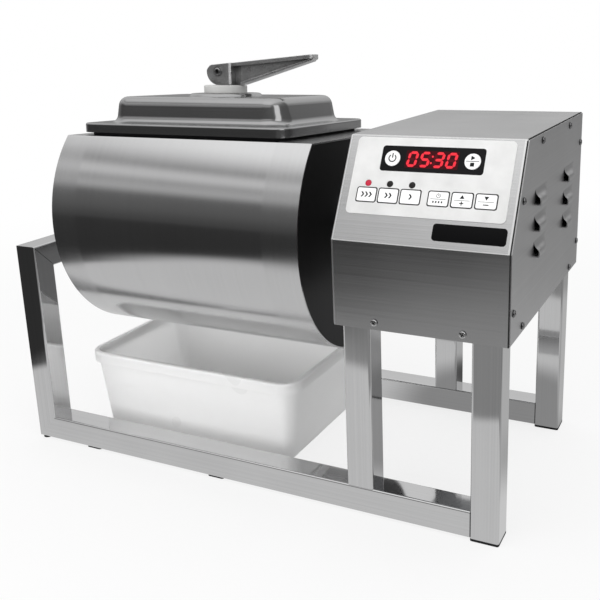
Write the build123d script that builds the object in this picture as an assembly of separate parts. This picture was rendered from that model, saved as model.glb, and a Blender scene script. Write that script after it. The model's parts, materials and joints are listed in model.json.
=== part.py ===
"""Meat tumbler: a D-section drum on a square-tube stand, turned by a gearmotor in a control housing."""

import math
import os

from build123d import *

os.makedirs("parts", exist_ok=True)

# Row frame: millimetres, +X along the drum axis towards the housing, +Y to the back, +Z up from the floor.
# The origin is under the middle of the machine. Sizes are driven by the 38 mm square tube.

# Clearances
running_gap = 0.05
slip_gap = 0.3
key_gap = 0.4

# Stand
tube = 38.0
tube_wall = 1.5
tube_corner = 3.0
frame_length = 774.0
frame_width = 384.0
post_height = 323.0
foot_height = 3.5
inner_leg_inset = 10.0
pad_offsets = (110.5, 343.5)
pad_length = 28.0
pad_width = 30.0
glide_radius = 7.0
glide_inset = 9.0

# Control housing
housing_length = 230.0
housing_overhang = 10.0
housing_side_overhang = 6.0
housing_bottom = 271.5
slope_bottom = 383.5
slope_angle = 29.0
slope_length = 141.0
sheet = 1.5
bend_radius = 3.0
side_flange = 18.0
panel_inset = 1.2
tray_sheet = 2.0
tray_lip = 25.0
louver_depth = 8.0
louver_length = 66.0
louver_height = 20.0
louver_pitch = 33.0
louver_top_z = 441.0
louver_insets = (137.0, 90.0)
louver_wall = 1.3
louver_fall = ((-0.5, 1.0), (-0.17, 0.94), (0.17, 0.75), (0.36, 0.38))
louver_tail = (0.5, 0.09)
louver_hollow_tail = (0.43, 0.22)
louver_margin = 2.0
louver_mouth_back = 12.0
shaft_hole_radius = 34.0

# Side and front screws
screw_head = 9.0
screw_head_height = 2.6
screw_shank = 4.0
screw_length = 9.0
screw_round = 1.4
screw_edge_inset = 13.0
screw_slope_inset = 16.0
screw_top_drop = 9.8
screw_back_drop = 43.8
screw_low_rise = 38.9
screw_foot_rise = 9.5
screw_top_insets = (69.2, 94.3)
screw_foot_insets = (55.7, 61.5)
wrap_screw_spread = 57.7

# Control panel, measured along the slope from its lower edge
overlay_size = (204.0, 101.4)
overlay_centre = 87.0
overlay_thick = 1.0
window_size = (133.0, 33.5)
window_centre = 110.2
round_key_offset = 51.5
round_key_radius = 10.0
key_size = (24.6, 17.0)
key_centre = 61.4
key_offsets = (-77.6, -48.5, -19.4, 16.6, 46.2, 75.8)
key_proud = 0.9
key_travel = 0.5
lamp_radius = 4.0
lamp_centre = 76.6
lamp_offsets = (-77.8, -48.8, -19.5)
board_depth = 10.0
board_thick = 1.6
board_margin = 4.0
board_post_inset = 4.0
board_post_radius = 3.0
switch_side = 10.0
display_body = (76.0, 26.0)

# Electrics
inlet_inset = 53.0
inlet_rise = 46.5
inlet_flange = (50.0, 24.0)
inlet_body = (27.8, 19.8)
inlet_depth = 24.0
supply_size = (110.0, 80.0, 42.0)
supply_insets = (14.0, 24.0)
strip_size = (64.0, 20.0, 16.0)
strip_insets = (43.0, 30.0)
strip_ways = 6

# Drum
drum_radius = 192.0
drum_flat = 123.4
drum_left_gap = 84.0
drum_right_gap = 52.0
drum_wall = 2.0
disc_thick = 3.0
disc_recess = 3.0
drum_rest_tilt = 3.0
bearing_height = 36.5
bearing_bolt = 10.0
bearing_bolt_y = 52.5
shaft_diameter = 25.0
pillow_length = 140.0
pillow_base = 14.0
pillow_radius = 36.0
pillow_width = 32.0
bearing_radius = 26.0
hub_radius = 52.0
hub_thick = 8.0
hub_boss_radius = 22.0
hub_bolt_circle = 38.0
hub_bolt = 8.0
hub_turns = (45.0, 135.0, 225.0, 315.0)
paddle_angles = (205.0, 270.0, 335.0)
paddle_height = 42.0
paddle_base = 54.0

# Hatch, lid and clamp, in the drum's own frame
lid_left_margin = 10.0
lid_right_margin = 50.0
lid_width = 266.0
hatch_margins = (31.0, 33.0)
hatch_corner = 24.0
lid_corner = 24.0
lid_sheet = 2.0
lip_bottom = 127.4
lip_rounds = (2.5, 0.8)
flange_top = 140.9
plateau_insets = (24.0, 37.0)
plateau_leans = (10.0, 4.0)
plateau_corners = (34.0, 24.0)
plateau_top = 179.3
plateau_round = 15.0
plateau_sweep = 11.0
mound_radius = 60.0
mound_top = 183.5
mound_taper = 7.0
mound_sink = 3.0
mound_round = 5.0
gasket_inset = 10.0
gasket_band = 13.0
gasket_corners = (16.0, 6.0)
collar_radius = 33.2
collar_top = 195.7
collar_rounds = (2.0, 1.0)
spindle_diameter = 16.0
pivot_height = 216.5
pivot_diameter = 10.0
bar_overlap = 18.0
bar_width = 34.0
bar_thick = 10.0
bar_top = 113.0

# Lever, measured from its pivot
lever_head = 40.0
lever_slot = 17.2
eye_width = 16.4
lever_head_right = 22.0
lever_head_top = 9.7
lever_edge = 3.0
lever_neck = 6.0
lever_neck_end = 34.0
lever_web = 16.0
lever_flange = 26.0
lever_flange_depth = 5.0
lever_tip_top = 23.5
lever_tip_round = 9.0
lever_reach = 159.5
cam_radius = 20.4

# Drive
gear_module = 2.5
gear_teeth = 54
pinion_teeth = 18
gear_width = 20.0
pinion_width = 24.0
gear_offset = 98.0
bearing_offset = 46.0
gearbox_size = (62.0, 84.0, 84.0)
gearbox_offset = 149.0
motor_diameter = 70.0
motor_length = 80.0
pinion_shaft = 15.0

# Catch tub
tub_left_offset = 56.0
tub_length = 389.5
tub_width = 250.0
tub_height = 135.0
tub_rim = 5.0
tub_skirt = 17.0
tub_draft = 14.0
tub_wall = 3.0
tub_corner = 32.0

# Derived sizes and places
cut_reach = 400.0
housing_depth = frame_width + 2 * housing_side_overhang
x_left = -(frame_length + housing_overhang + louver_depth) / 2
x_right = x_left + frame_length
y_front = -frame_width / 2
y_back = frame_width / 2
post_top = foot_height + post_height
axis_z = post_top + bearing_height
housing_right = x_right + housing_overhang
housing_left = housing_right - housing_length
housing_mid = (housing_left + housing_right) / 2
housing_half = housing_depth / 2
housing_top = slope_bottom + slope_length * math.cos(math.radians(slope_angle))
slope_back = -housing_half + slope_length * math.sin(math.radians(slope_angle))
louver_columns = (-housing_half + louver_insets[0], housing_half - louver_insets[1])
drum_left = x_left + drum_left_gap
drum_right = housing_left - drum_right_gap
drum_length = drum_right - drum_left
lid_size = (drum_length - lid_left_margin - lid_right_margin, lid_width)
hatch_size = (lid_size[0] - 2 * hatch_margins[0], lid_size[1] - 2 * hatch_margins[1])
plateau_base = (lid_size[0] - 2 * plateau_insets[0], lid_size[1] - 2 * plateau_insets[1])
plateau_top_size = (plateau_base[0] - 2 * plateau_leans[0], plateau_base[1] - 2 * plateau_leans[1])
hatch_x = drum_left + lid_left_margin + lid_size[0] / 2
bar_length = hatch_size[1] + 2 * bar_overlap
tray_top = housing_bottom + tray_sheet
wrap_screw_z = housing_bottom + screw_foot_rise
inlet_x = housing_right - inlet_inset
inlet_z = housing_bottom + inlet_rise
bearing_x = housing_left + bearing_offset
gear_x = housing_left + gear_offset
gearbox_x = housing_left + gearbox_offset
gear_pitch_radius = gear_module * gear_teeth / 2
pinion_pitch_radius = gear_module * pinion_teeth / 2
pinion_y = gear_pitch_radius + pinion_pitch_radius
slope = Plane(
    origin=(housing_mid, -housing_half, slope_bottom),
    x_dir=(1, 0, 0),
    z_dir=(0, -math.cos(math.radians(slope_angle)), math.sin(math.radians(slope_angle))),
)
slope_along = slope.y_dir
slope_screw = slope.origin + slope_along * (slope_length / 2) - slope.z_dir * screw_slope_inset
side_screws = (
    (slope_back + screw_top_insets[0], housing_top - screw_top_drop),
    (housing_half - screw_top_insets[1], housing_top - screw_top_drop),
    (housing_half - screw_edge_inset, housing_top - screw_back_drop),
    (housing_half - screw_edge_inset, housing_bottom + screw_low_rise),
    (housing_half - screw_foot_insets[1], wrap_screw_z),
    (slope_screw.Y, slope_screw.Z),
    (-housing_half + screw_edge_inset, housing_bottom + screw_low_rise),
    (-housing_half + screw_foot_insets[0], wrap_screw_z),
)
LOW = (Align.CENTER, Align.CENTER, Align.MIN)
HIGH = (Align.CENTER, Align.CENTER, Align.MAX)


# Helpers
def half_space(origin, normal):
    """A large block on the side of a plane that the normal points to."""
    return Plane(origin=origin, z_dir=normal) * Box(3000, 3000, 3000, align=LOW)


def rod_x(radius, x0, x1, y=0.0, z=0.0):
    """A cylinder along X from x0 to x1."""
    return Pos(x0, y, z) * Rot(0, 90, 0) * Cylinder(radius, x1 - x0, align=LOW)


def rod_y(radius, y0, y1, x=0.0, z=0.0):
    """A cylinder along Y from y0 to y1."""
    return Pos(x, y0, z) * Rot(-90, 0, 0) * Cylinder(radius, y1 - y0, align=LOW)


def rod_z(radius, z0, z1, x=0.0, y=0.0):
    """A cylinder along Z from z0 to z1."""
    return Pos(x, y, z0) * Cylinder(radius, z1 - z0, align=LOW)


def slab(length, width, corner, z0, z1):
    """A plate with rounded corners between two heights."""
    return Pos(0, 0, z0) * extrude(RectangleRounded(length, width, corner), z1 - z0)


def tapered(low_size, low_corner, z0, top_size, top_corner, z1):
    """A block with rounded corners that narrows from one height to another."""
    low = Pos(0, 0, z0) * RectangleRounded(*low_size, low_corner)
    top = Pos(0, 0, z1) * RectangleRounded(*top_size, top_corner)
    return loft([low, top], ruled=True)


def ring_edges(solid, z, inside=None):
    """The edges that lie wholly at one height, and if asked inside a rectangle about the middle."""
    edges = []
    for edge in solid.edges():
        box = edge.bounding_box()
        middle = edge.center()
        level = abs(box.min.Z - z) < 1e-4 and abs(box.max.Z - z) < 1e-4
        near = inside is None or (abs(middle.X) < inside[0] / 2 and abs(middle.Y) < inside[1] / 2)
        if level and near:
            edges.append(edge)
    return ShapeList(edges)


def on_drum(shape):
    """Moves a shape from the drum's own frame, axis on X, to its place at rest."""
    return Pos(0, 0, axis_z) * Rot(-drum_rest_tilt, 0, 0) * shape


def group(solids):
    """Several separate solids as one node."""
    return Compound(children=list(solids))


# Stand
def square_tube(length):
    """A length of rounded square tube along +Z from z = 0."""
    inner_side = tube - 2 * tube_wall
    outer = RectangleRounded(tube, tube, tube_corner)
    inner = RectangleRounded(inner_side, inner_side, tube_corner - tube_wall)
    return extrude(outer - inner, length)


def stand():
    """The welded stand: mitred left portal, floor rails, and four legs under the housing."""
    nodes = {}
    half = tube / 2
    for side, name in ((-1, "front"), (1, "rear")):
        y_mid = side * (frame_width / 2 - half)
        y_out = side * frame_width / 2
        top_cut = half_space((0, y_out, post_top), (0, -side, 1))
        foot_cut = half_space((x_left, 0, foot_height), (1, 0, -1))
        post = Pos(x_left + half, y_mid, foot_height) * square_tube(post_height)
        nodes[f"left_{name}_post"] = post - top_cut - foot_cut
        rail = Pos(x_left, y_mid, foot_height + half) * Rot(0, 90, 0) * square_tube(frame_length - tube)
        nodes[f"{name}_rail"] = rail - half_space((x_left, 0, foot_height), (-1, 0, 1))
        leg_length = housing_bottom - foot_height - tube
        inner_x = housing_left + inner_leg_inset + half
        nodes[f"{name}_inner_leg"] = Pos(inner_x, y_mid, foot_height + tube) * square_tube(leg_length)
        end_leg = Pos(x_right - half, y_mid, foot_height) * square_tube(housing_bottom - foot_height)
        nodes[f"{name}_right_leg"] = end_leg
    beam = Pos(x_left + half, y_front, post_top - half) * Rot(-90, 0, 0) * square_tube(frame_width)
    beam = beam - half_space((0, y_front, post_top), (0, -1, -1))
    beam = beam - half_space((0, y_back, post_top), (0, 1, -1))
    for y in (-bearing_bolt_y, bearing_bolt_y):
        beam -= rod_z(bearing_bolt / 2 + slip_gap, post_top - tube / 2, post_top + 5, x_left + half, y)
    nodes["left_cross_beam"] = beam
    return nodes


def feet():
    """Rubber pads under the rails, and plug caps in the right legs."""
    y_mid = frame_width / 2 - tube / 2
    pads = []
    caps = []
    for y in (-y_mid, y_mid):
        for offset in pad_offsets:
            pads.append(Pos(x_left + offset, y, 0) * slab(pad_length, pad_width, 4.0, 0, foot_height))
        glide_y = math.copysign(frame_width / 2 - glide_inset, y)
        pads.append(Pos(x_left + glide_inset, glide_y, 0) * rod_z(glide_radius, 0, foot_height))
        plug_side = tube - 2 * tube_wall - 2 * slip_gap
        plug = slab(plug_side, plug_side, 1.2, foot_height, foot_height + 14.0)
        cap = slab(tube, tube, tube_corner, 0, foot_height) + plug
        caps.append(Pos(x_right - tube / 2, y, 0) * cap)
    return {"rail_pads": group(pads), "leg_caps": group(caps)}


# Control housing
def outline_points():
    """The housing's side outline as points in Y and Z, from the front foot round to the back foot."""
    return [(-housing_half, housing_bottom), (-housing_half, slope_bottom), (slope_back, housing_top),
            (housing_half, housing_top), (housing_half, housing_bottom)]


def inset_points(points, inset):
    """Moves each side of a clockwise outline inwards by the same amount."""
    moved = []
    count = len(points)
    for i in range(count):
        before, here, after = points[i - 1], points[i], points[(i + 1) % count]
        a = Vector(here[0] - before[0], here[1] - before[1]).normalized()
        b = Vector(after[0] - here[0], after[1] - here[1]).normalized()
        na, nb = Vector(a.Y, -a.X), Vector(b.Y, -b.X)
        middle = na + nb
        reach = inset / (1 + na.dot(nb))
        moved.append((here[0] + middle.X * reach, here[1] + middle.Y * reach))
    return moved


def outline_face(inset, radius):
    """The housing's outline moved in, with its upper corners bent to a radius, on the YZ plane."""
    points = inset_points(outline_points(), inset)
    face = make_face(Polyline(*points, close=True))
    if radius > 0:
        corners = [face.vertices().sort_by_distance(Vector(*p))[0] for p in points[1:4]]
        face = fillet(corners, radius)
    return Plane.YZ * face


def housing_block(inset, radius, x0, x1):
    """The housing's outline as a block between two places along X."""
    return Pos(x0, 0, 0) * extrude(outline_face(inset, radius), x1 - x0)


def panel_cut(width, height, corner, x, s):
    """A rounded rectangular cutter through the sloped panel."""
    return slope * Pos(x, s, -30) * extrude(RectangleRounded(width, height, corner), 60)


def panel_bore(radius, x, s):
    """A round cutter through the sloped panel."""
    return slope * Pos(x, s, -30) * Cylinder(radius, 60, align=LOW)


def housing_wrap():
    """The bent front, slope, top and back sheet, with inturned flanges at both ends."""
    x0, x1 = housing_left + sheet, housing_right - sheet
    wrap = housing_block(0, bend_radius, x0, x1) - housing_block(sheet, bend_radius - sheet, x0, x1)
    floor = Pos(housing_mid, 0, housing_bottom - 5)
    wrap -= floor * Box(housing_length, housing_depth - 2 * sheet, 5 + 2 * sheet, align=LOW)
    rim = housing_block(sheet, bend_radius - sheet, x0, x0 + sheet)
    rim -= housing_block(side_flange, 0, x0, x0 + sheet)
    rim -= floor * Box(3 * housing_length, housing_depth - 2 * sheet, 5 + 2 * tray_lip, align=LOW)
    wrap = wrap + rim + Pos(x1 - x0 - sheet, 0, 0) * rim
    wrap -= panel_cut(window_size[0] - 4, window_size[1] - 4, 3, 0, window_centre)
    for x in key_offsets:
        wrap -= panel_cut(key_size[0] + 2 * key_gap, key_size[1] + 2 * key_gap, 2.4, x, key_centre)
    for x in lamp_offsets:
        wrap -= panel_bore(lamp_radius + slip_gap, x, lamp_centre)
    hole = screw_shank / 2 + slip_gap
    for y, z in side_screws:
        if z > housing_bottom + tray_lip:
            wrap -= rod_x(hole, x0 - 1, x1 + 1, y, z)
    for x in (-wrap_screw_spread, wrap_screw_spread):
        wrap -= rod_y(hole, -housing_half - 1, housing_half + 1, housing_mid + x, wrap_screw_z)
    inlet = Box(inlet_body[0] + 2 * slip_gap, 6 * sheet, inlet_body[1] + 2 * slip_gap)
    return wrap - Pos(inlet_x, housing_half, inlet_z) * inlet


def louver():
    """One pressed scoop, open to the front, standing on the plane x = 0 with its top at z = 0."""
    def scoop(reduce, tail):
        low = reduce - louver_height
        ribs = []
        for along, share in (*louver_fall, tail):
            out = share * louver_depth - reduce
            crest = (out, low + 5.0)
            side = (
                Spline((0, -reduce), (0.45 * out, 0.4 * low), crest, tangents=((0.25, -1), (0, -1)))
                + Spline(crest, (0.7 * out, low), tangents=((0, -1), (-1, 0)))
                + Line((0.7 * out, low), (0, low))
                + Line((0, low), (0, -reduce))
            )
            ribs.append(Pos(0, along * louver_length, 0) * (Plane.XZ * make_face(side)))
        return loft(ribs)
    room = Pos(louver_depth / 2, 0, -louver_height / 2) * Box(louver_depth, louver_length, louver_height)
    return scoop(0, louver_tail) & room, scoop(louver_wall, louver_hollow_tail)


def side_panel(outer_x, inner_x):
    """A flat side plate of the housing between two places along X, set in from the outline."""
    low_x, high_x = min(outer_x, inner_x), max(outer_x, inner_x)
    plate = housing_block(panel_inset, bend_radius, low_x, high_x)
    for y, z in side_screws:
        plate -= rod_x(screw_shank / 2 + slip_gap, low_x - 5, high_x + 5, y, z)
    return plate


def screw(reach):
    """A pan-head screw along +Z, its head above z = 0."""
    head = Cylinder(screw_head / 2, screw_head_height, align=LOW)
    head = fillet(head.edges().group_by(Axis.Z)[-1], screw_round)
    return head + Cylinder(screw_shank / 2, reach, align=HIGH)


def housing():
    """The housing's sheets, tray and screws."""
    nodes = {"housing_wrap": housing_wrap()}
    right = side_panel(housing_right, housing_right - sheet)
    hood, hollow = louver()
    for column in louver_columns:
        for row in range(3):
            at = Pos(housing_right, column, louver_top_z - row * louver_pitch)
            right += at * hood
            right -= at * Pos(-0.02, 0, 0) * hollow
            mouth = (louver_length - louver_mouth_back - louver_margin, louver_height - 2 * louver_margin)
            right -= at * Pos(-sheet, -louver_mouth_back / 2, -louver_height / 2) * Box(2 * sheet, *mouth)
    nodes["right_side_panel"] = right
    left = side_panel(housing_left, housing_left + sheet)
    nodes["left_side_panel"] = left - rod_x(shaft_hole_radius, housing_left - 5, housing_left + 5, 0, axis_z)
    x_in0, x_in1 = housing_left + sheet, housing_right - sheet
    y_in = housing_half - sheet
    tray = Box(x_in1 - x_in0, 2 * y_in, tray_lip, align=LOW)
    inside = (x_in1 - x_in0 - 2 * tray_sheet, 2 * (y_in - tray_sheet))
    tray -= Pos(0, 0, tray_sheet) * Box(*inside, 2 * tray_lip, align=LOW)
    for end in (-1, 1):
        for side in (-1, 1):
            notch = Pos(end * (x_in1 - x_in0) / 2, side * y_in, tray_sheet)
            tray -= notch * Box(2 * (tray_sheet + 0.5), 2 * (side_flange + 2), 2 * tray_lip, align=LOW)
    tray = Pos(housing_mid, 0, housing_bottom) * tray
    hole = screw_shank / 2 + slip_gap
    for y, z in side_screws:
        if z < housing_bottom + tray_lip:
            tray -= rod_x(hole, x_in0 - 5, x_in1 + 5, y, z)
    for x in (-wrap_screw_spread, wrap_screw_spread):
        tray -= rod_y(hole, -housing_half - 1, housing_half + 1, housing_mid + x, wrap_screw_z)
    nodes["base_tray"] = tray
    one = screw(screw_length)
    for name, x, turn in (("right", housing_right, 90), ("left", housing_left, -90)):
        row = [Pos(x, y, z) * Rot(0, turn, 0) * one for y, z in side_screws]
        nodes[f"{name}_panel_screws"] = group(row)
    wrap_screws = []
    for x in (-wrap_screw_spread, wrap_screw_spread):
        wrap_screws.append(Pos(housing_mid + x, -housing_half, wrap_screw_z) * Rot(90, 0, 0) * one)
        wrap_screws.append(Pos(housing_mid + x, housing_half, wrap_screw_z) * Rot(-90, 0, 0) * one)
    nodes["wrap_screws"] = group(wrap_screws)
    return nodes


# Control panel
def rectangular_key():
    """A key cap with a hidden flange, standing on the sloped panel at its own centre."""
    cap_top = overlay_thick + key_proud
    cap = slab(*key_size, 2.0, -sheet - 2.2, cap_top)
    cap = fillet(cap.edges().group_by(Axis.Z)[-1], 0.5)
    return cap + slab(key_size[0] + 3, key_size[1] + 3, 2.4, -sheet - 2.6, -sheet - key_gap)


def round_key():
    """A round key cap with a hidden flange."""
    cap = rod_z(round_key_radius, -sheet - 2.2, overlay_thick + key_proud)
    cap = fillet(cap.edges().group_by(Axis.Z)[-1], 0.6)
    return cap + rod_z(round_key_radius + 1.5, -sheet - 2.6, -sheet - key_gap)


def controls():
    """Overlay, display window, keys, lamps and the board behind them."""
    nodes = {}
    overlay = slab(*overlay_size, 6.0, 0, overlay_thick)
    overlay = Pos(0, overlay_centre, 0) * overlay
    overlay -= Pos(0, window_centre, -5) * extrude(RectangleRounded(*window_size, 4.0), 20)
    for x in key_offsets:
        hole = extrude(RectangleRounded(key_size[0] + 2 * key_gap, key_size[1] + 2 * key_gap, 2.4), 20)
        overlay -= Pos(x, key_centre, -5) * hole
    for x in lamp_offsets:
        overlay -= rod_z(lamp_radius + slip_gap, -5, 5, x, lamp_centre)
    nodes["control_overlay"] = slope * overlay
    window = Pos(0, window_centre, 0) * slab(*window_size, 4.0, 0, overlay_thick)
    for x in (-round_key_offset, round_key_offset):
        window -= rod_z(round_key_radius + key_gap, -5, 5, x, window_centre)
    nodes["display_window"] = slope * window
    nodes["power_key"] = slope * Pos(-round_key_offset, window_centre, 0) * round_key()
    nodes["start_stop_key"] = slope * Pos(round_key_offset, window_centre, 0) * round_key()
    for i, x in enumerate(key_offsets):
        nodes[f"key_{i + 1}"] = slope * Pos(x, key_centre, 0) * rectangular_key()
    lamps = []
    for x in lamp_offsets:
        lamp = rod_z(lamp_radius, -board_depth, overlay_thick + 0.8, x, lamp_centre)
        lamps.append(slope * fillet(lamp.edges().group_by(Axis.Z)[-1], 0.7))
    nodes["indicator_lamps"] = group(lamps)
    board_size = (overlay_size[0] - 2 * board_margin, overlay_size[1] - 2 * board_margin)
    board = Pos(0, overlay_centre, -board_depth) * Box(*board_size, board_thick, align=HIGH)
    switch_top = -sheet - 2.6 - key_travel - 0.3
    switch = Box(switch_side, switch_side, board_depth + switch_top, align=LOW)
    for x in key_offsets:
        board += Pos(x, key_centre, -board_depth) * switch
    for x in (-round_key_offset, round_key_offset):
        board += Pos(x, window_centre, -board_depth) * switch
    board += Pos(0, window_centre, -board_depth) * Box(*display_body, board_depth - 0.6, align=LOW)
    post_x = board_size[0] / 2 - board_post_inset
    post_s = board_size[1] / 2 - board_post_inset
    for x in (-post_x, post_x):
        for s in (overlay_centre - post_s, overlay_centre + post_s):
            board += rod_z(board_post_radius, -board_depth, -sheet, x, s)
    nodes["control_board"] = slope * board
    return nodes


# Electrics
def electrics():
    """Mains inlet at the back, supply unit and terminal strip on the tray."""
    flange = Box(inlet_flange[0], 2.4, inlet_flange[1])
    flange = Pos(0, 1.2, 0) * fillet(flange.edges().filter_by(Axis.Y), 4.0)
    body = Pos(0, -inlet_depth / 2, 0) * Box(inlet_body[0], inlet_depth, inlet_body[1])
    socket = Pos(0, -6, 0) * Box(inlet_body[0] - 4.2, 18, inlet_body[1] - 4.2)
    inlet = flange + body - socket
    for x, z in ((-7, 1.5), (0, -2.5), (7, 1.5)):
        inlet += Pos(x, -10, z) * Box(2, 12, 4)
    for x in (-inlet_flange[0] / 2 + 5, inlet_flange[0] / 2 - 5):
        inlet -= rod_y(1.8, -1, 5, x, 0)
    inlet = Pos(inlet_x, housing_half, inlet_z) * inlet
    supply = Box(*supply_size, align=LOW)
    supply = fillet(supply.edges().filter_by(Axis.Z), 2.0)
    vent_pitch = supply_size[0] / 11
    for i in range(9):
        supply -= Pos((i - 4) * vent_pitch, 0, supply_size[2]) * Box(4, 0.7 * supply_size[1], 2)
    supply_x = housing_right - sheet - supply_insets[0] - supply_size[0] / 2
    supply_y = -housing_half + supply_insets[1] + supply_size[1] / 2
    supply = Pos(supply_x, supply_y, tray_top) * supply
    strip = Box(strip_size[0], strip_size[1], strip_size[2] / 2, align=LOW)
    way = (strip_size[0] - 10) / strip_ways
    for i in range(strip_ways + 1):
        strip += Pos((i - strip_ways / 2) * way, 0, 0) * Box(1.6, strip_size[1], strip_size[2], align=LOW)
    strip_x = housing_left + strip_insets[0] + strip_size[0] / 2
    strip = Pos(strip_x, housing_half - strip_insets[1] - strip_size[1] / 2, tray_top) * strip
    return {"power_inlet": inlet, "power_supply": supply, "terminal_strip": strip}


# Bearings and drive
def pillow_block():
    """A cast pillow block for the drum shaft, its base on z = 0 and its bore along X."""
    half = pillow_width / 2
    base = slab(tube, pillow_length, 12.0, 0, pillow_base)
    base = fillet(base.edges().group_by(Axis.Z)[-1], 2.0)
    arch = Polyline((-bearing_bolt_y, 10), (-pillow_radius, bearing_height), (pillow_radius, bearing_height),
                    (bearing_bolt_y, 10), close=True)
    web = Pos(4 - half, 0, 0) * extrude(Plane.YZ * make_face(arch), pillow_width - 8)
    block = base + web + rod_x(pillow_radius, -half, half, 0, bearing_height)
    block -= rod_x(bearing_radius, -pillow_width, pillow_width, 0, bearing_height)
    block -= Box(2 * pillow_length, 2 * pillow_length, 2 * pillow_radius, align=HIGH)
    for y in (-bearing_bolt_y, bearing_bolt_y):
        block -= Pos(0, y, 0) * extrude(SlotOverall(bearing_bolt + 9, bearing_bolt + 1, rotation=90), 40)
        block -= Pos(0, y, pillow_base) * slab(24, 28, 8, 0, 40)
    return block


def bearing_insert():
    """The bearing inside a pillow block, its bore along X."""
    half = pillow_width / 2
    outer = rod_x(bearing_radius - running_gap, 7 - half, half - 7)
    inner = rod_x(shaft_diameter / 2 + 4.5, -half - 1, half + 1)
    return outer + inner - rod_x(shaft_diameter / 2 + running_gap, -pillow_width, pillow_width)


def hex_bolt(size, head, grip):
    """A hexagon-head bolt along +Z, its head above z = 0."""
    cap = extrude(RegularPolygon(head / 2, 6, major_radius=False), 0.64 * size)
    return cap + Cylinder(size / 2, grip, align=HIGH)


def channel(length_x, length_y, height, thick):
    """An inverted channel along Y, standing on z = 0."""
    body = Box(length_x, length_y, height, align=LOW)
    return body - Box(length_x - 2 * thick, length_y + 10, height - thick, align=LOW)


def gear_outline(teeth, turn):
    """A spur gear's outline as a face in XY, with a tooth centred on +X before it is turned."""
    pitch = gear_module * teeth / 2
    base = pitch * math.cos(math.radians(20))
    tip = pitch + gear_module
    root = pitch - 1.25 * gear_module
    backlash = 0.12 / pitch

    def half_angle(radius):
        at_pitch = math.tan(math.radians(20)) - math.radians(20)
        pressure = math.acos(min(1.0, base / radius))
        return math.pi / (2 * teeth) - backlash + at_pitch - (math.tan(pressure) - pressure)

    start = max(base, root + 0.4)
    radii = [root, start, (start + pitch) / 2, pitch, (pitch + tip) / 2, tip]
    angles = [half_angle(max(start, r)) for r in radii]
    points = []
    for i in range(teeth):
        centre = 2 * math.pi * i / teeth + math.radians(turn)
        flank = list(zip(radii, angles))
        for r, a in flank:
            points.append((r * math.cos(centre - a), r * math.sin(centre - a)))
        for r, a in reversed(flank):
            points.append((r * math.cos(centre + a), r * math.sin(centre + a)))
    return make_face(Polyline(*points, close=True))


def gear_x_body(teeth, turn, x0, x1):
    """A spur gear along X with its first tooth towards +Y."""
    return Pos(x0, 0, 0) * extrude(Plane.YZ * gear_outline(teeth, turn), x1 - x0)


def drive():
    """Pillow blocks, pedestal, gear pair and gearmotor."""
    nodes = {}
    beam_x = x_left + tube / 2
    nodes["left_pillow_block"] = Pos(beam_x, 0, post_top) * pillow_block()
    nodes["right_pillow_block"] = Pos(bearing_x, 0, post_top) * pillow_block()
    insert = bearing_insert()
    nodes["bearing_inserts"] = group(Pos(x, 0, axis_z) * insert for x in (beam_x, bearing_x))
    pedestal = Pos(bearing_x, 0, tray_top) * channel(tube + 8, pillow_length + 16, post_top - tray_top, 4.0)
    bolts = []
    bolt = hex_bolt(bearing_bolt, 17.0, 24.0)
    for x in (beam_x, bearing_x):
        for y in (-bearing_bolt_y, bearing_bolt_y):
            bolts.append(Pos(x, y, post_top + pillow_base) * bolt)
    nodes["pillow_bolts"] = group(bolts)
    for y in (-bearing_bolt_y, bearing_bolt_y):
        pedestal -= rod_z(bearing_bolt / 2 + slip_gap, post_top - 30, post_top + 5, bearing_x, y)
    nodes["bearing_pedestal"] = pedestal
    gear = gear_x_body(gear_teeth, 0, gear_x - gear_width / 2, gear_x + gear_width / 2)
    gear += rod_x(24.0, gear_x - 16, gear_x + 14)
    recess = rod_x(54.0, 0, 6) - rod_x(28.0, 0, 6)
    gear -= Pos(gear_x - gear_width / 2, 0, 0) * recess
    gear -= Pos(gear_x + gear_width / 2 - 6, 0, 0) * recess
    gear -= rod_x(shaft_diameter / 2, gear_x - 40, gear_x + 40)
    nodes["drum_gear"] = Pos(0, 0, axis_z) * gear
    half_pitch = 180.0 / pinion_teeth
    pinion = gear_x_body(pinion_teeth, half_pitch, gear_x - pinion_width / 2, gear_x + pinion_width / 2)
    box_left = gearbox_x - gearbox_size[0] / 2
    pinion += rod_x(pinion_shaft / 2, gear_x - pinion_width / 2 - 4, box_left + 30)
    nodes["motor_pinion"] = Pos(0, pinion_y, axis_z) * pinion
    box = Box(*gearbox_size)
    box = fillet(box.edges().filter_by(Axis.X), 12.0)
    box += rod_x(22.0, -gearbox_size[0] / 2 - 4, -gearbox_size[0] / 2 + 1)
    box += Pos(0, 0, gearbox_size[2] / 2 - 8) * Cylinder(motor_diameter / 2 + 4, 8, align=LOW)
    box -= rod_x(pinion_shaft / 2 + running_gap, -60, -gearbox_size[0] / 2 + 32)
    nodes["gearbox"] = Pos(gearbox_x, pinion_y, axis_z) * box
    motor = Cylinder(motor_diameter / 2, motor_length, align=LOW)
    cover = Pos(0, 0, motor_length) * Cylinder(motor_diameter / 2 - 4, 8, align=LOW)
    motor = motor + fillet(cover.edges().group_by(Axis.Z)[-1], 4.0)
    for i in range(12):
        fin = Pos(motor_diameter / 2, 0, 10) * Box(5, 2, motor_length - 22, align=LOW)
        motor += Rot(0, 0, 30 * i) * fin
    motor_z = axis_z + gearbox_size[2] / 2
    nodes["drive_motor"] = Pos(gearbox_x, pinion_y, motor_z) * motor
    stand_height = axis_z - gearbox_size[2] / 2 - tray_top
    bracket = channel(gearbox_size[0] - 2, gearbox_size[1] + 12, stand_height, 4.0)
    nodes["motor_stand"] = Pos(gearbox_x, pinion_y, tray_top) * bracket
    return nodes


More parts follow.
